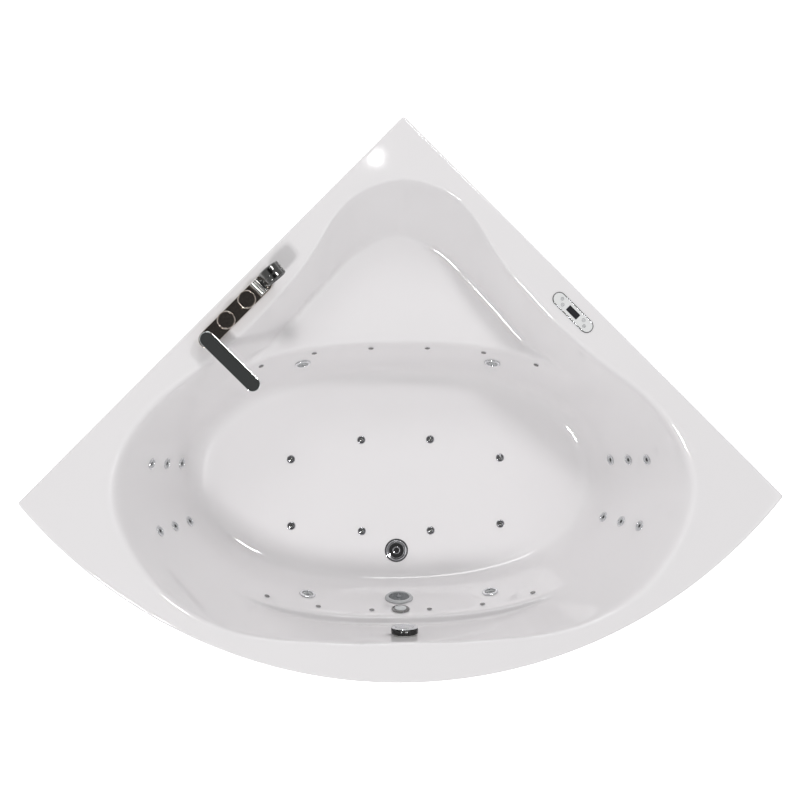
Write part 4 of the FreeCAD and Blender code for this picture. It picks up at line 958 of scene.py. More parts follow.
@dataclass
class WallFittings:
    """Jets, air injectors, suction, light and overflow in the walls of the well."""

    bath: MouldedBath
    jet_angles: tuple[float, ...] = (50.4, -51.6)
    jet_height: float = 0.274
    back_jet_angles: tuple[float, ...] = (4.3, -11.4)
    back_jet_heights: tuple[float, ...] = (0.250, 0.335, 0.420)
    air_angles: tuple[float, ...] = (39.6, 56.1, 77.8, -41.0, -57.0, -77.6)
    air_height: float = 0.342
    suction_height: float = 0.262
    light_height: float = 0.338
    overflow_height: float = 0.505
    jet_hole: float = 0.0195
    back_jet_hole: float = 0.0085
    suction_hole: float = 0.0365
    light_hole: float = 0.0205
    overflow_hole: float = 0.0225

    def __post_init__(self) -> None:
        """Find the sites."""
        site = self.bath.wall_site
        self.jet_sites = [site(turn, self.jet_height) for turn in self._both_sides(self.jet_angles)]
        self.back_sites = [site(turn, height) for turn in self._both_sides(self.back_jet_angles)
                           for height in self.back_jet_heights]
        self.air_sites = [site(turn, self.air_height) for turn in self._both_sides(self.air_angles)]
        self.suction_site = site(-90.0, self.suction_height)
        self.light_site = site(-90.0, self.light_height)
        self.overflow_site = site(-90.0, self.overflow_height)

    @staticmethod
    def _both_sides(angles: Sequence[float]) -> list[float]:
        """Each angle on the right, followed by its mirror image on the left."""
        return [turn for angle in angles for turn in (angle, 180.0 - angle)]

    def holes(self) -> list[tuple[Matrix, float]]:
        """Holes that these fittings need in the bath.

        Returns:
            (site, hole radius) pairs.
        """
        found = [(site, self.jet_hole) for site in self.jet_sites]
        found += [(site, self.back_jet_hole) for site in self.back_sites]
        found += [(self.suction_site, self.suction_hole), (self.light_site, self.light_hole)]
        found.append((self.overflow_site, self.overflow_hole))
        return found

    def side_jet(self, number: int, site: Matrix) -> None:
        """One large jet: chrome ring on the wall, tilting nozzle with its eye.

        Args:
            number: Counted from 1.
            site: Its place.
        """
        ring = Draft()
        profile = [(0.0160, 0.0010), (0.0238, 0.0010), (0.0239, 0.0030), (0.0218, 0.0050), (0.0180, 0.0052),
                   (0.0160, 0.0040)]
        ring.turned(softened(profile, 0.0012, closed=True), site, 56, closed=True)
        seated(ring.finish("jet_ring_%d" % number, CHROME), BATH, ["jet_trims"] if number == 1 else [])
        nozzle = Draft()
        profile = [(0.0148, -0.0080), (0.0151, -0.0030), (0.0146, 0.0010), (0.0120, 0.0026), (0.0080, 0.0024),
                   (0.0062, 0.0000), (0.0058, -0.0080)]
        nozzle.turned(softened(profile, 0.0010, closed=True), site, 48, closed=True)
        body = "nozzle_%d" % number
        seated(nozzle.finish("jet_nozzle_face_%d" % number, JET_GREY), body, ["jet_nozzle_%d" % number])
        # The eye is a dark disc of painted shade deep in the nozzle; the three small dots round it use the same
        # painted-shade black.
        eye = Draft()
        eye.turned([(0.0060, -0.0065), (0.0060, -0.0050)], site, 32)
        for turn in (30.0, 150.0, 270.0):
            x, y = circle_point(0.0108, turn)
            eye.turned([(0.0016, 0.0015), (0.0015, 0.0029)], site @ Matrix.Translation((x, y, 0.0)), 16)
        seated(eye.finish("jet_eye_%d" % number, SHADOW_BLACK), body)

    def back_jet(self, number: int, site: Matrix) -> None:
        """One backrest jet: chrome ring, pale cup and dark eye.

        Args:
            number: Counted from 1.
            site: Its place.
        """
        ring = Draft()
        profile = [(0.0120, 0.0008), (0.0158, 0.0008), (0.0159, 0.0022), (0.0140, 0.0034), (0.0120, 0.0026)]
        ring.turned(softened(profile, 0.0008, closed=True), site, 40, closed=True)
        seated(ring.finish("back_jet_ring_%d" % number, CHROME), BATH,
               ["back_jet_trims"] if number == 1 else [])
        cup = Draft()
        profile = [(0.0121, 0.0006), (0.0122, 0.0018), (0.0092, 0.0026), (0.0058, 0.0018), (0.0052, -0.0020),
                   (0.0050, -0.0060), (0.0075, -0.0060), (0.0078, 0.0000)]
        cup.turned(softened(profile, 0.0006, closed=True), site, 32, closed=True)
        seated(cup.finish("back_jet_cup_%d" % number, JET_GREY), BATH)
        # The dark eye is a disc of painted shade inside the cup's opening.
        eye = Draft()
        eye.turned([(0.0050, -0.0040), (0.0053, 0.0004)], site, 24)
        seated(eye.finish("back_jet_eye_%d" % number, SHADOW_BLACK), BATH)

    def air_injector(self, number: int, site: Matrix) -> None:
        """One small air injector: low dome of chrome painted grey, a painted dark reflection.

        Args:
            number: Counted from 1.
            site: Its place.
        """
        dome = Draft()
        profile = [(0.0078, 0.0002), (0.0081, 0.0010), (0.0078, 0.0024), (0.0050, 0.0034), (0.0010, 0.0036)]
        dome.turned(softened(profile, 0.0008), site, 28)
        seated(dome.finish("air_dome_%d" % number, GREY_REFLECTION_CHROME), BATH)

    def suction(self) -> None:
        """Suction grille: rim, parallel bars and a dark disc of painted shade behind them."""
        site = self.suction_site
        rim = Draft()
        profile = [(0.0300, 0.0012), (0.0412, 0.0012), (0.0414, 0.0034), (0.0370, 0.0072), (0.0320, 0.0080),
                   (0.0300, 0.0070)]
        rim.turned(softened(profile, 0.0015, closed=True), site, 64, closed=True)
        seated(rim.finish("suction_rim", JET_GREY, bevel=0.0004), BATH)
        grille = Draft()
        for row in range(-4, 4):
            middle = 0.0070 * (row + 0.5)
            half = math.sqrt(0.0290 ** 2 - middle ** 2)
            outline = [(-half, middle - 0.0018), (half, middle - 0.0018), (half, middle + 0.0018),
                       (-half, middle + 0.0018)]
            grille.prism(outline, 0.0022, 0.0060, site)
        grille.block((-0.0020, -0.0305, 0.0024), (0.0020, 0.0305, 0.0056), site)
        hub = [(0.0078, 0.0030), (0.0078, 0.0076), (0.0050, 0.0084), (0.0010, 0.0086)]
        grille.turned(softened(hub, 0.001), site, 32)
        seated(grille.finish("suction_grille", GRILLE_GREY, bevel=0.0004), BATH, ["suction_cover"])
        # Dark disc of painted shade behind the bars.
        dark = Draft()
        dark.turned([(0.0305, 0.0008), (0.0305, 0.0018)], site, 48)
        seated(dark.finish("suction_shade", SHADOW_BLACK), BATH)

    def light(self) -> None:
        """Well light: ring of chrome painted grey, a painted dark reflection, and a frosted dome with rings in it."""
        site = self.light_site
        ring = Draft()
        profile = [(0.0172, 0.0034), (0.0262, 0.0010), (0.0264, 0.0036), (0.0235, 0.0052), (0.0185, 0.0056),
                   (0.0172, 0.0050)]
        ring.turned(softened(profile, 0.0010, closed=True), site, 56, closed=True)
        seated(ring.finish("light_ring", GREY_REFLECTION_CHROME), BATH)
        lens = Draft()
        profile = [(0.0166, -0.0030), (0.0167, 0.0050)]
        profile += [(0.0167 - 0.0026 * k, 0.0062 + 0.0010 * (k % 2) + 0.0004 * k) for k in range(6)]
        profile.append((0.0012, 0.0086))
        lens.turned(profile, site, 48)
        seated(lens.finish("light_dome", LENS, crease=60.0), BATH, ["light_lens"])

    def overflow(self) -> None:
        """Overflow: drum with finger grips, its chrome painted near black as a painted dark reflection, its bright
        chrome face and the flange behind it.
        """
        site = self.overflow_site
        low = 0.0038
        knob = Draft()
        profile = [(0.0340, low), (0.0386, low + 0.0014), (0.0389, low + 0.0140), (0.0370, low + 0.0176),
                   (0.0300, low + 0.0180), (0.0010, low + 0.0180)]
        knob.turned(softened(profile, 0.0012), site, 160, flute=fluted(4, 0.075, sharpness=6))
        knob.turned([(0.0060, -0.052), (0.0060, low + 0.004)], site, 32)
        seated(knob.finish("overflow_drum", BLACK_REFLECTION_CHROME, crease=40.0), "overflow_control", ["overflow_knob"])
        face = Draft()
        profile = [(0.0368, low + 0.0170), (0.0372, low + 0.0180), (0.0345, low + 0.0204), (0.0260, low + 0.0200),
                   (0.0245, low + 0.0188), (0.0080, low + 0.0186), (0.0010, low + 0.0186)]
        face.turned(softened(profile, 0.0010), site, 96)
        seated(face.finish("overflow_face", CHROME), "overflow_control")
        flange = Draft()
        profile = [(0.0225, 0.0009), (0.0339, 0.0009), (0.0340, 0.0022), (0.0325, 0.0035), (0.0225, 0.0035)]
        flange.turned(softened(profile, 0.0008, closed=True), site, 64, closed=True)
        seated(flange.finish("overflow_flange", CHROME), BATH)

    def build(self) -> None:
        """Make all the fittings of the walls."""
        for number, site in enumerate(self.jet_sites, 1):
            self.side_jet(number, site)
        for number, site in enumerate(self.back_sites, 1):
            self.back_jet(number, site)
        for number, site in enumerate(self.air_sites, 1):
            self.air_injector(number, site)
        self.suction()
        self.light()
        self.overflow()


@dataclass
class BottomFittings:
    """Waste with its plug, and the air jets of the bottom."""

    bath: MouldedBath
    waste: Point2 = (0.0, -0.454)
    jets: tuple[Point2, ...] = ((0.316, -0.177), (0.104, -0.120), (0.316, -0.377), (0.104, -0.395))
    waste_hole: float = 0.0245
    jet_hole: float = 0.0065

    def _site(self, x: float, y: float) -> Matrix:
        """Place on the bottom."""
        return Matrix.Translation((x, y, self.bath.floor_height))

    def _jet_sites(self) -> list[Matrix]:
        """Places of the floor jets, each on the left and then on the right."""
        return [self._site(side * x, y) for x, y in self.jets for side in (-1, 1)]

    def holes(self) -> list[tuple[Matrix, float]]:
        """Holes that these fittings need in the bath."""
        return [(self._site(*self.waste), self.waste_hole)] + [(site, self.jet_hole) for site in self._jet_sites()]

    def drain(self) -> None:
        """Plug with its turned rings over the chrome flange."""
        site = self._site(*self.waste)
        ring = Draft()
        profile = [(0.0312, 0.0002), (0.0349, 0.0002), (0.0350, 0.0014), (0.0338, 0.0026), (0.0312, 0.0024)]
        ring.turned(softened(profile, 0.0006, closed=True), site, 64, closed=True)
        seated(ring.finish("waste_ring", CHROME), BATH)
        plug = Draft()
        profile = [(0.0290, 0.0030), (0.0308, 0.0036), (0.0309, 0.0050), (0.0296, 0.0066), (0.0262, 0.0074),
                   (0.0240, 0.0070), (0.0225, 0.0074), (0.0120, 0.0076), (0.0100, 0.0072), (0.0085, 0.0077),
                   (0.0010, 0.0078)]
        plug.turned(softened(profile, 0.0006), site, 72)
        plug.turned([(0.0050, -0.055), (0.0050, 0.0032)], site, 28)
        # Plug cap of chrome painted dark: a painted dark reflection.
        seated(plug.finish("waste_plug_cap", DARK_REFLECTION_CHROME), "waste_plug", ["drain_plug"])

    def floor_jet(self, number: int, site: Matrix) -> None:
        """One air jet: button of chrome painted dark and a paler pin in its middle of chrome painted grey, both
        painted dark reflection, with dark discs of painted shade for the holes round it.

        Args:
            number: Counted from 1.
            site: Its place.
        """
        cap = Draft()
        profile = [(0.0118, 0.0001), (0.0124, 0.0008), (0.0122, 0.0020), (0.0098, 0.0033), (0.0070, 0.0030),
                   (0.0055, 0.0034), (0.0010, 0.0035)]
        cap.turned(softened(profile, 0.0006), site, 40)
        seated(cap.finish("floor_jet_button_%d" % number, DARK_REFLECTION_CHROME), BATH,
               ["floor_jet_caps"] if number == 1 else [])
        # Dark discs of painted shade for the holes.
        holes = Draft()
        for k in range(6):
            x, y = circle_point(0.0086, 60.0 * k)
            holes.turned([(0.0011, 0.0020), (0.0010, 0.0035)], site @ Matrix.Translation((x, y, 0.0)), 12)
        seated(holes.finish("floor_jet_holes_%d" % number, SHADOW_BLACK), BATH)
        # Pin of chrome painted grey: a painted dark reflection.
        gleam = Draft()
        profile = [(0.0036, 0.0030), (0.0036, 0.0036), (0.0020, 0.0040), (0.0006, 0.0041)]
        gleam.turned(softened(profile, 0.0004), site, 20)
        seated(gleam.finish("floor_jet_pin_%d" % number, GREY_REFLECTION_CHROME), BATH)

    def build(self) -> None:
        """Make all the fittings of the bottom."""
        self.drain()
        for number, site in enumerate(self._jet_sites(), 1):
            self.floor_jet(number, site)


# ---------------------------------------------------------------- keypad and tap on the deck


class Icon(Enum):
    """Generic signs printed on the keypad's buttons."""

    JETS = "jets"
    BUBBLES = "bubbles"
    LIGHT = "light"
    POWER = "power"


@dataclass
class Keypad:
    """Touch keypad on the right deck."""

    bath: MouldedBath
    along: float = 0.716
    inset: float = 0.055
    length: float = 0.107
    radius: float = 0.018
    height: float = 0.003
    body_depth: float = 0.026
    display: tuple[float, float] = (0.040, 0.0175)
    buttons: tuple[tuple[float, float, Icon], ...] = (
        (-0.048, 0.0055, Icon.POWER), (-0.036, -0.0055, Icon.LIGHT),
        (0.036, 0.0055, Icon.BUBBLES), (0.048, -0.0055, Icon.JETS),
    )
    button_radius: float = 0.005
    button_top: float = 0.004

    def _stadium(self, grow: float = 0.0) -> list[Point2]:
        """Outline of the keypad, larger by grow all round."""
        return [(x - self.length / 2.0, y) for x, y in stadium_outline(self.length, self.radius + grow, 24)]

    def housing(self, site: Matrix) -> None:
        """Frame, membrane and body through the deck.

        Args:
            site: Place of the keypad's middle.
        """
        gasket = Draft()
        gasket.frame(self._stadium(0.0010), self._stadium(-0.0030), 0.0001, 0.0014, site)
        seated(gasket.finish("keypad_gasket", RUBBER), BATH)
        frame = Draft()
        frame.frame(self._stadium(), self._stadium(-0.0014), 0.0008, self.height - 0.0001, site)
        # Frame of chrome painted dark: a painted dark reflection.
        seated(frame.finish("keypad_frame", DARK_REFLECTION_CHROME, bevel=0.0004), BATH)
        film = Draft()
        film.prism(self._stadium(-0.0014), 0.0008, self.height - 0.0007, site)
        film.prism(self._stadium(-0.0060), -self.body_depth, 0.0010, site)
        seated(film.finish("keypad_membrane", KEYPAD_SILVER), BATH, ["keypad_housing"])

    def screen(self, site: Matrix) -> None:
        """Display window, flush with the film.

        Args:
            site: Place of the keypad's middle.
        """
        wide, deep = self.display
        window = Draft()
        outline = [(-wide / 2, -deep / 2), (wide / 2, -deep / 2), (wide / 2, deep / 2), (-wide / 2, deep / 2)]
        window.prism(softened(outline, 0.0015, closed=True), 0.0012, self.height - 0.0001, site)
        seated(window.finish("keypad_window", SCREEN), BATH, ["keypad_display"])

    def _icon(self, draft: Draft, icon: Icon, site: Matrix) -> None:
        """Draw a sign on a button.

        Args:
            draft: Where its mesh goes.
            icon: Which sign.
            site: Middle of the button's top.
        """
        low, high = -0.0001, 0.00006
        if icon is Icon.POWER:
            draft.frame(ring_outline(0.0026, 24), ring_outline(0.0020, 24), low, high, site)
            draft.block((-0.0003, 0.0006, low), (0.0003, 0.0032, high), site)
        elif icon is Icon.LIGHT:
            draft.frame(ring_outline(0.0016, 20), ring_outline(0.0011, 20), low, high, site)
            for turn in range(0, 360, 60):
                arm = site @ Matrix.Rotation(math.radians(turn), 4, "Z")
                draft.block((0.0021, -0.0002, low), (0.0033, 0.0002, high), arm)
        elif icon is Icon.BUBBLES:
            for x, y, radius in ((-0.0012, -0.0010, 0.0012), (0.0013, 0.0000, 0.0010), (-0.0004, 0.0018, 0.0008)):
                draft.frame(ring_outline(radius, 18), ring_outline(radius * 0.65, 18), low, high,
                            site @ Matrix.Translation((x, y, 0.0)))
        else:
            for y in (-0.0016, 0.0, 0.0016):
                draft.block((-0.0028, y - 0.0003, low), (0.0016, y + 0.0003, high), site)
                tip = [(0.0016, y - 0.0008), (0.0030, y), (0.0016, y + 0.0008)]
                draft.prism(tip, low, high, site)

    def button(self, number: int, place: tuple[float, float, Icon], site: Matrix) -> None:
        """One button with its printed ring and sign.

        Args:
            number: Counted from 1.
            place: Offsets from the keypad's middle, and the sign.
            site: Place of the keypad's middle.
        """
        x, y, icon = place
        here = site @ Matrix.Translation((x, y, 0.0))
        key = Draft()
        profile = [(self.button_radius - 0.0001, 0.0021), (self.button_radius - 0.0001, self.button_top - 0.0004),
                   (self.button_radius - 0.0008, self.button_top), (0.0003, self.button_top - 0.0001)]
        key.turned(softened(profile, 0.0003), here, 36)
        body = "button_%d" % number
        seated(key.finish("keypad_key_%d" % number, BUTTON_WHITE), body, ["keypad_button_%d" % number])
        sign = Draft()
        top = here @ Matrix.Translation((0.0, 0.0, self.button_top))
        sign.frame(ring_outline(0.0047, 32), ring_outline(0.0040, 32), -0.0004, 0.00004, top)
        self._icon(sign, icon, top)
        seated(sign.finish("keypad_sign_%d" % number, ICON_GREY), body)

    def build(self) -> None:
        """Make the keypad."""
        site = self.bath.deck_site(1, self.along, self.inset)
        self.housing(site)
        self.screen(site)
        for number, place in enumerate(self.buttons, 1):
            self.button(number, place, site)


@dataclass
class DeckTap:
    """Deck-mounted tap on the left: block, two knobs, swinging spout and hand shower."""

    bath: MouldedBath
    along: float = 0.819
    inset: float = 0.055
    length: float = 0.215
    radius: float = 0.0245
    height: float = 0.040
    gap: float = 0.0008
    spindle_radius: float = 0.0080
    spindle_foot: float = 0.020
    knob_places: tuple[float, float] = (0.073, 0.152)
    knob_radius: float = 0.025
    knob_height: float = 0.024
    spout_reach: float = 0.172
    spout_radius: float = 0.021
    spout_low: float = 0.045
    spout_thickness: float = 0.013
    neck_place: float = 0.198
    neck_ribs: tuple[tuple[float, float], ...] = ((-0.0070, 0.0062), (0.0065, 0.0078))
    handle_place: float = 0.212
    handle_radius: float = 0.0109
    handle_foot: float = -0.079
    head_place: float = 0.249
    head_radius: float = 0.033
    head_width: float = 0.042
    head_turn: float = -6.0

    def block(self, site: Matrix) -> None:
        """Mirror block.

        Args:
            site: Place of the spout's pivot on the deck.
        """
        body = Draft()
        body.prism(stadium_outline(self.length, self.radius, 32), 0.0, self.height, site)
        # Chrome tinted brownish and darker: a painted reflection of brown surroundings.
        seated(body.finish("tap_block", BROWN_REFLECTION_CHROME, bevel=0.0012), BATH, ["tap_body"])

    def knob(self, name: str, body: str, node: str, x: float, site: Matrix) -> None:
        """One knob: drum with a bright rim, a sunk top and fine grip grooves.

        Args:
            name: Of the piece.
            body: That it turns with.
            node: That it stands for.
            x: Place along the tap.
            site: Place of the spout's pivot on the deck.
        """
        here = site @ Matrix.Translation((x, 0.0, 0.0))
        low, r = self.height + self.gap, self.knob_radius
        top = low + self.knob_height - 0.0006
        drum = Draft()
        profile = [(r - 0.0012, low), (r - 0.0002, low + 0.0010), (r - 0.0002, low + 0.0040),
                   (r - 0.0012, low + 0.0046), (r - 0.0012, low + 0.0052), (r - 0.0002, low + 0.0058),
                   (r - 0.0002, top - 0.0012), (r - 0.0010, top), (r - 0.0020, top), (r - 0.0028, top - 0.0014),
                   (0.0008, top - 0.0014)]
        drum.turned(softened(profile, 0.0006), here, 144, flute=fluted(36, 0.004))
        drum.turned([(self.spindle_radius, self.spindle_foot), (self.spindle_radius, low + 0.004)], here, 32)
        drum.block((r - 0.0105, -0.0010, top - 0.0016), (r - 0.0045, 0.0010, top - 0.0004), here)
        # Chrome tinted brownish and darker: a painted reflection of brown surroundings.
        seated(drum.finish(name, BROWN_REFLECTION_CHROME), body, [node])

    def spout(self, site: Matrix) -> None:
        """Flat spout with its hub, joint line and the outlet under its tip.

        Args:
            site: Place of the spout's pivot on the deck.
        """
        arm = site @ Matrix.Rotation(math.radians(-90.0), 4, "Z")
        low, high = self.spout_low, self.spout_low + self.spout_thickness
        plate = Draft()
        plate.prism(stadium_outline(self.spout_reach, self.spout_radius, 32), low, high, arm)
        seated(plate.finish("spout_plate", SPOUT_CHROME, bevel=0.0014), "spout_arm", ["spout"])
        details = Draft()
        r = self.spout_radius
        hub, spindle = r - 0.0030, self.spindle_radius
        details.turned(softened([(hub, self.height + self.gap), (hub, low + 0.001)], 0.0005), site, 48)
        details.turned([(spindle, self.spindle_foot), (spindle, self.height + 0.003)], site, 32)
        tip = arm @ Matrix.Translation((self.spout_reach, 0.0, 0.0))
        profile = [(0.0080, low + 0.0010), (0.0110, low + 0.0010), (0.0112, low - 0.0012), (0.0104, low - 0.0022),
                   (0.0086, low - 0.0022)]
        details.turned(softened(profile, 0.0006, closed=True), tip, 40, closed=True)
        line = high + 0.00012
        details.block((0.0070, -r + 0.0020, high - 0.0010), (0.0082, r - 0.0020, line), arm)
        seated(details.finish("spout_hub", CHROME), "spout_arm")
        screen = Draft()
        screen.turned([(0.0084, low - 0.0016), (0.0084, low + 0.0004)], tip, 32)
        seated(screen.finish("spout_screen", GRILLE_GREY), "spout_arm")

    def hand_shower(self, site: Matrix) -> None:
        """Hand shower on the end of the tap: handle, ribbed neck and drum head with its nozzles.

        Args:
            site: Place of the spout's pivot on the deck.
        """
        low = self.height + self.gap
        across = Matrix.Rotation(math.radians(-90.0), 4, "X")
        neck = Draft()
        half, crown = 0.0219, low + 0.0279
        for x, r in self.neck_ribs:
            profile = [(r - 0.0010, -half), (r, -half + 0.0010), (r, half - 0.0010), (r - 0.0010, half)]
            here = site @ Matrix.Translation((self.neck_place + x, 0.0, crown - r)) @ across
            neck.turned(softened(profile, 0.0006), here, 48)
        neck.block((self.neck_place, -0.0079, low + 0.0060), (self.head_place - 0.0105, 0.0079, low + 0.0230), site)
        handle = site @ Matrix.Translation((self.handle_place, 0.0, 0.0))
        neck.turned([(self.handle_radius, self.handle_foot), (self.handle_radius, low + 0.012)], handle, 36)
        seated(neck.finish("shower_neck", RIBBED_CHROME, bevel=0.0006), "hand_shower_set", ["hand_shower"])
        head = Draft()
        turn = Matrix.Rotation(math.radians(self.head_turn), 4, "Z")
        middle = site @ Matrix.Translation((self.head_place, 0.0, low + self.head_radius + 0.0017)) @ turn @ across
        half, r = self.head_width / 2.0, self.head_radius - 0.0002
        profile = [(0.0010, -half + 0.0014), (0.0260, -half + 0.0014), (0.0268, -half), (0.0290, -half),
                   (0.0322, -half + 0.0028), (r, -half + 0.0052), (r, -0.0050), (r - 0.0012, -0.0042),
                   (r - 0.0012, -0.0030), (r, -0.0022), (r, half - 0.0052), (0.0322, half - 0.0028),
                   (0.0290, half), (0.0010, half)]
        head.turned(softened(profile, 0.0010), middle, 96)
        # Head of chrome painted dark: a painted dark reflection.
        seated(head.finish("shower_head", HEAD_REFLECTION_CHROME), "hand_shower_set")
        nozzles = Draft()
        for ring, count in ((0.0225, 20), (0.0160, 14), (0.0095, 8), (0.0030, 3)):
            for step in range(count):
                x, y = circle_point(ring, 360.0 * step / count)
                nozzles.turned([(0.0010, -half + 0.0004), (0.0013, -half + 0.0018)],
                               middle @ Matrix.Translation((x, y, 0.0)), 10)
        seated(nozzles.finish("shower_nozzles", RUBBER), "hand_shower_set")

    def build(self) -> None:
        """Make the tap."""
        site = self.bath.deck_site(-1, self.along, self.inset)
        self.block(site)
        self.knob("flow_drum", "flow_control", "flow_knob", self.knob_places[0], site)
        self.knob("temperature_drum", "temperature_control", "temperature_knob", self.knob_places[1], site)
        self.spout(site)
        self.hand_shower(site)


# ---------------------------------------------------------------- everything under the deck


@dataclass
class Underworks:
    """Frame, pump, blower, control box and pipes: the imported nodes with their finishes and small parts."""

    nodes: dict[str, bpy.types.Object]
    finishes: dict[str, Finish] = field(default_factory=lambda: {
        "apron_panel": ACRYLIC, "base_board": BOARD, "pump_shelf": BOARD, "frame_rails": STEEL_PAINT,
        "frame_uprights": STEEL_PAINT, "foot_lock_nuts": ZINC, "wall_brackets": ZINC, "pump_motor": MOTOR_PAINT,
        "pump_volute": BLACK_PLASTIC, "pump_fan_cover": BLACK_PLASTIC, "pump_shaft": STEEL,
        "pump_impeller": BLACK_PLASTIC, "pump_fan": BLACK_PLASTIC, "blower": BLACK_PLASTIC,
        "control_box": BOX_PLASTIC, "control_box_lid": BOX_PLASTIC, "cable_glands": BLACK_PLASTIC,
        "jet_bodies": PIPE_WHITE, "back_jet_bodies": PIPE_WHITE, "side_air_jets": CHROME,
        "floor_jet_bodies": PIPE_WHITE, "suction_body": PIPE_WHITE, "light_housing": CHROME,
        "overflow_body": PIPE_WHITE, "overflow_pipe": PIPE_WHITE, "waste_flange": CHROME,
        "waste_body": PIPE_WHITE, "trap": PIPE_WHITE, "suction_pipe": PIPE_WHITE, "jet_pipes": PIPE_WHITE,
        "air_pipes": PIPE_WHITE, "tap_shanks": ZINC,
    })
    foot_count: int = 5
    thread_pitch: float = 0.0025
    thread_turns: int = 29

    def dress(self) -> None:
        """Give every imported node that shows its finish."""
        chosen = dict(self.finishes)
        chosen.update({name: ZINC for name in self.nodes if name.startswith("leveling_foot")})
        for name, finish in chosen.items():
            mesh = self.nodes[name].data
            mesh.materials.clear()
            mesh.materials.append(finish.material())
            log.info("%s is finished in %s", name, finish.name)

    def screws(self) -> None:
        """Screws of the control box lid."""
        low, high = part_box("control_box_lid")
        front = Draft()
        turn = Matrix.Rotation(math.radians(90.0), 4, "X")
        head = [(0.0036, 0.0), (0.0036, 0.0010), (0.0022, 0.0018), (0.0004, 0.0018)]
        for x in (low.x + 0.008, high.x - 0.008):
            for z in (low.z + 0.008, high.z - 0.008):
                site = Matrix.Translation((x, low.y + 0.0001, z)) @ turn
                front.turned(softened(head, 0.0004), site, 20)
        seated(front.finish("lid_screws", ZINC), BATH)

    def foot_threads(self) -> None:
        """Thread of each foot, as ridges on its bar, and its rubber pad."""
        for number in range(1, self.foot_count + 1):
            low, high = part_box("leveling_foot_%d" % number)
            x, y = (low.x + high.x) / 2.0, (low.y + high.y) / 2.0
            thread = Draft()
            profile = [(0.0060, 0.0)]
            for step in range(self.thread_turns):
                root, crest = 0.0003 + self.thread_pitch * step, self.thread_pitch * (step + 0.5)
                profile += [(0.0060, root), (0.0062, crest)]
            profile.append((0.0060, self.thread_pitch * self.thread_turns))
            thread.turned(profile, Matrix.Translation((x, y, 0.0125)), 24)
            seated(thread.finish("foot_thread_%d" % number, ZINC), "foot_%d" % number)
            pad = Draft()
            profile = [(0.0235, 0.0001), (0.0248, 0.0008), (0.0250, 0.0030), (0.0240, 0.0036), (0.0100, 0.0036)]
            pad.turned(softened(profile, 0.0008), Matrix.Translation((x, y, 0.0)), 40)
            seated(pad.finish("foot_pad_%d" % number, RUBBER), "foot_%d" % number)

    def build(self) -> None:
        """Finish the nodes and add their small parts."""
        self.dress()
        self.screws()
        self.foot_threads()


# ---------------------------------------------------------------- studio


@dataclass(frozen=True)
class Softbox:
    """One rectangular lamp, aimed at the bath."""

    name: str
    place: tuple[float, float, float]
    size: Point2
    power: float

    def hang(self, target: Vector) -> None:
        """Put the lamp in the scene.

        Args:
            target: Point that it is aimed at.
        """
        data = bpy.data.lights.new(self.name, "AREA")
        data.shape = "RECTANGLE"
        data.size, data.size_y = self.size
        data.energy = self.power
        lamp = bpy.data.objects.new(self.name, data)
        lamp.location = self.place
        lamp.rotation_euler = (target - Vector(self.place)).to_track_quat("-Z", "Y").to_euler()
        bpy.context.scene.collection.objects.link(lamp)


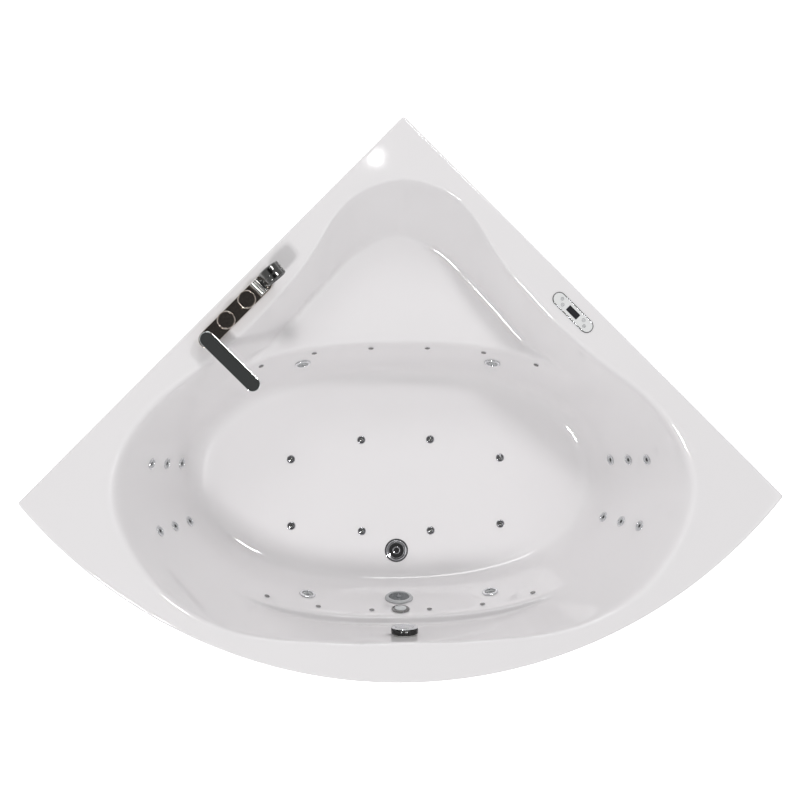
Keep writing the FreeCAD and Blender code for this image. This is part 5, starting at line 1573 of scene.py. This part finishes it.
@dataclass
class Studio:
    """White floor and surroundings, soft lamps and the camera."""

    camera_place: tuple[float, float, float] = (-0.3156, 0.0014, 5.3519)
    camera_turn: tuple[float, float, float] = (0.0, -0.06321, -0.00579)
    focal_pixels: float = 1726.6
    picture_pixels: float = 800.0
    sensor: float = 36.0
    floor_size: float = 16.0
    floor_glow: float = 0.82
    sky_levels: tuple[Point2, ...] = (
        (0.0, 0.90), (0.12, 0.60), (0.40, 0.42), (0.74, 0.46), (0.94, 0.46), (0.975, 0.052),
    )
    lamp_target: tuple[float, float, float] = (0.0, 0.0, 0.3)
    lamps: tuple[Softbox, ...] = (
        Softbox("key_box", (-2.3, -2.77, 5.8), (0.85, 0.85), 140.0),
        Softbox("back_box", (2.0, 2.95, 5.8), (0.8, 0.7), 73.0),
        Softbox("far_box", (-0.3, 3.8, 3.6), (1.6, 1.2), 30.0),
        Softbox("right_box", (2.9, -1.1, 4.3), (2.0, 2.0), 12.0),
        Softbox("deck_gleam", (0.12, 1.23, 4.6), (0.075, 0.075), 0.25),
    )

    def _seen_white(self, tree: bpy.types.NodeTree) -> bpy.types.NodeSocket:
        """Add a switch that is 1 where a ray comes from the camera or off metal or glass.

        Args:
            tree: Node tree of the floor or of the world.

        Returns:
            The switch.
        """
        path = tree.nodes.new("ShaderNodeLightPath")
        first = tree.nodes.new("ShaderNodeMath")
        first.operation = "MAXIMUM"
        tree.links.new(path.outputs["Is Camera Ray"], first.inputs[0])
        tree.links.new(path.outputs["Is Glossy Ray"], first.inputs[1])
        second = tree.nodes.new("ShaderNodeMath")
        second.operation = "MAXIMUM"
        tree.links.new(first.outputs[0], second.inputs[0])
        tree.links.new(path.outputs["Is Transmission Ray"], second.inputs[1])
        return second.outputs[0]

    def floor(self) -> None:
        """Pale floor that looks white and still takes the shadow."""
        half = self.floor_size / 2.0
        draft = Draft()
        draft.add([(-half, -half, 0), (half, -half, 0), (half, half, 0), (-half, half, 0)], [[0, 1, 2, 3]])
        plane = draft.finish("floor", ACRYLIC)
        material = bpy.data.materials.new("studio_floor")
        material.use_nodes = True
        tree = material.node_tree
        shader = tree.nodes["Principled BSDF"]
        shader.inputs["Base Color"].default_value = (0.8, 0.8, 0.8, 1.0)
        shader.inputs["Roughness"].default_value = 0.9
        shader.inputs["Specular IOR Level"].default_value = 0.0
        shader.inputs["Emission Color"].default_value = (1.0, 1.0, 1.0, 1.0)
        strength = tree.nodes.new("ShaderNodeMath")
        strength.operation = "MULTIPLY"
        strength.inputs[1].default_value = self.floor_glow
        tree.links.new(self._seen_white(tree), strength.inputs[0])
        tree.links.new(strength.outputs[0], shader.inputs["Emission Strength"])
        plane.data.materials.clear()
        plane.data.materials.append(material)
        plane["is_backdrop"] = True

    def world(self) -> None:
        """Surroundings: pale at the sides and dark straight overhead."""
        world = bpy.data.worlds.new("studio")
        bpy.context.scene.world = world
        world.use_nodes = True
        tree = world.node_tree
        tree.nodes.clear()
        place = tree.nodes.new("ShaderNodeTexCoord")
        split = tree.nodes.new("ShaderNodeSeparateXYZ")
        tree.links.new(place.outputs["Generated"], split.inputs[0])
        ramp = tree.nodes.new("ShaderNodeValToRGB")
        lowest, *between, highest = self.sky_levels
        for element, (height, level) in zip(ramp.color_ramp.elements, (lowest, highest)):
            element.position = height
            element.color = (level, level, level, 1.0)
        for height, level in between:
            ramp.color_ramp.elements.new(height).color = (level, level, level, 1.0)
        tree.links.new(split.outputs["Z"], ramp.inputs["Fac"])
        sky = tree.nodes.new("ShaderNodeBackground")
        tree.links.new(ramp.outputs["Color"], sky.inputs["Color"])
        out = tree.nodes.new("ShaderNodeOutputWorld")
        tree.links.new(sky.outputs[0], out.inputs["Surface"])

    def camera(self) -> None:
        """Camera above the bath, as the picture was taken."""
        data = bpy.data.cameras.new("camera")
        data.sensor_width = self.sensor
        data.lens = self.sensor * self.focal_pixels / self.picture_pixels
        data.clip_end = 50.0
        eye = bpy.data.objects.new("camera", data)
        eye.location = self.camera_place
        eye.rotation_euler = Euler(self.camera_turn, "XYZ")
        bpy.context.scene.collection.objects.link(eye)
        bpy.context.scene.camera = eye

    def build(self) -> None:
        """Set up the studio."""
        bpy.context.scene.view_settings.view_transform = "Standard"
        self.floor()
        self.world()
        for lamp in self.lamps:
            lamp.hang(Vector(self.lamp_target))
        self.camera()


def main() -> dict[str, list[list[float]]]:
    """Build the bath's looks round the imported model.

    Returns:
        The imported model's box, and the box once everything is in place.
    """
    logging.basicConfig(level=logging.INFO, format="%(message)s")
    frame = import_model()
    packed = [list(corner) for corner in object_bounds()]
    bath = MouldedBath()
    walls = WallFittings(bath)
    bottom = BottomFittings(bath)
    bath.build(walls.holes() + bottom.holes())
    walls.build()
    bottom.build()
    Keypad(bath).build()
    DeckTap(bath).build()
    Underworks(frame["nodes"]).build()
    Studio().build()
    sizes = {"packed": packed, "dressed": [list(corner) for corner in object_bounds()]}
    return sizes


if __name__ == "__main__":
    main()
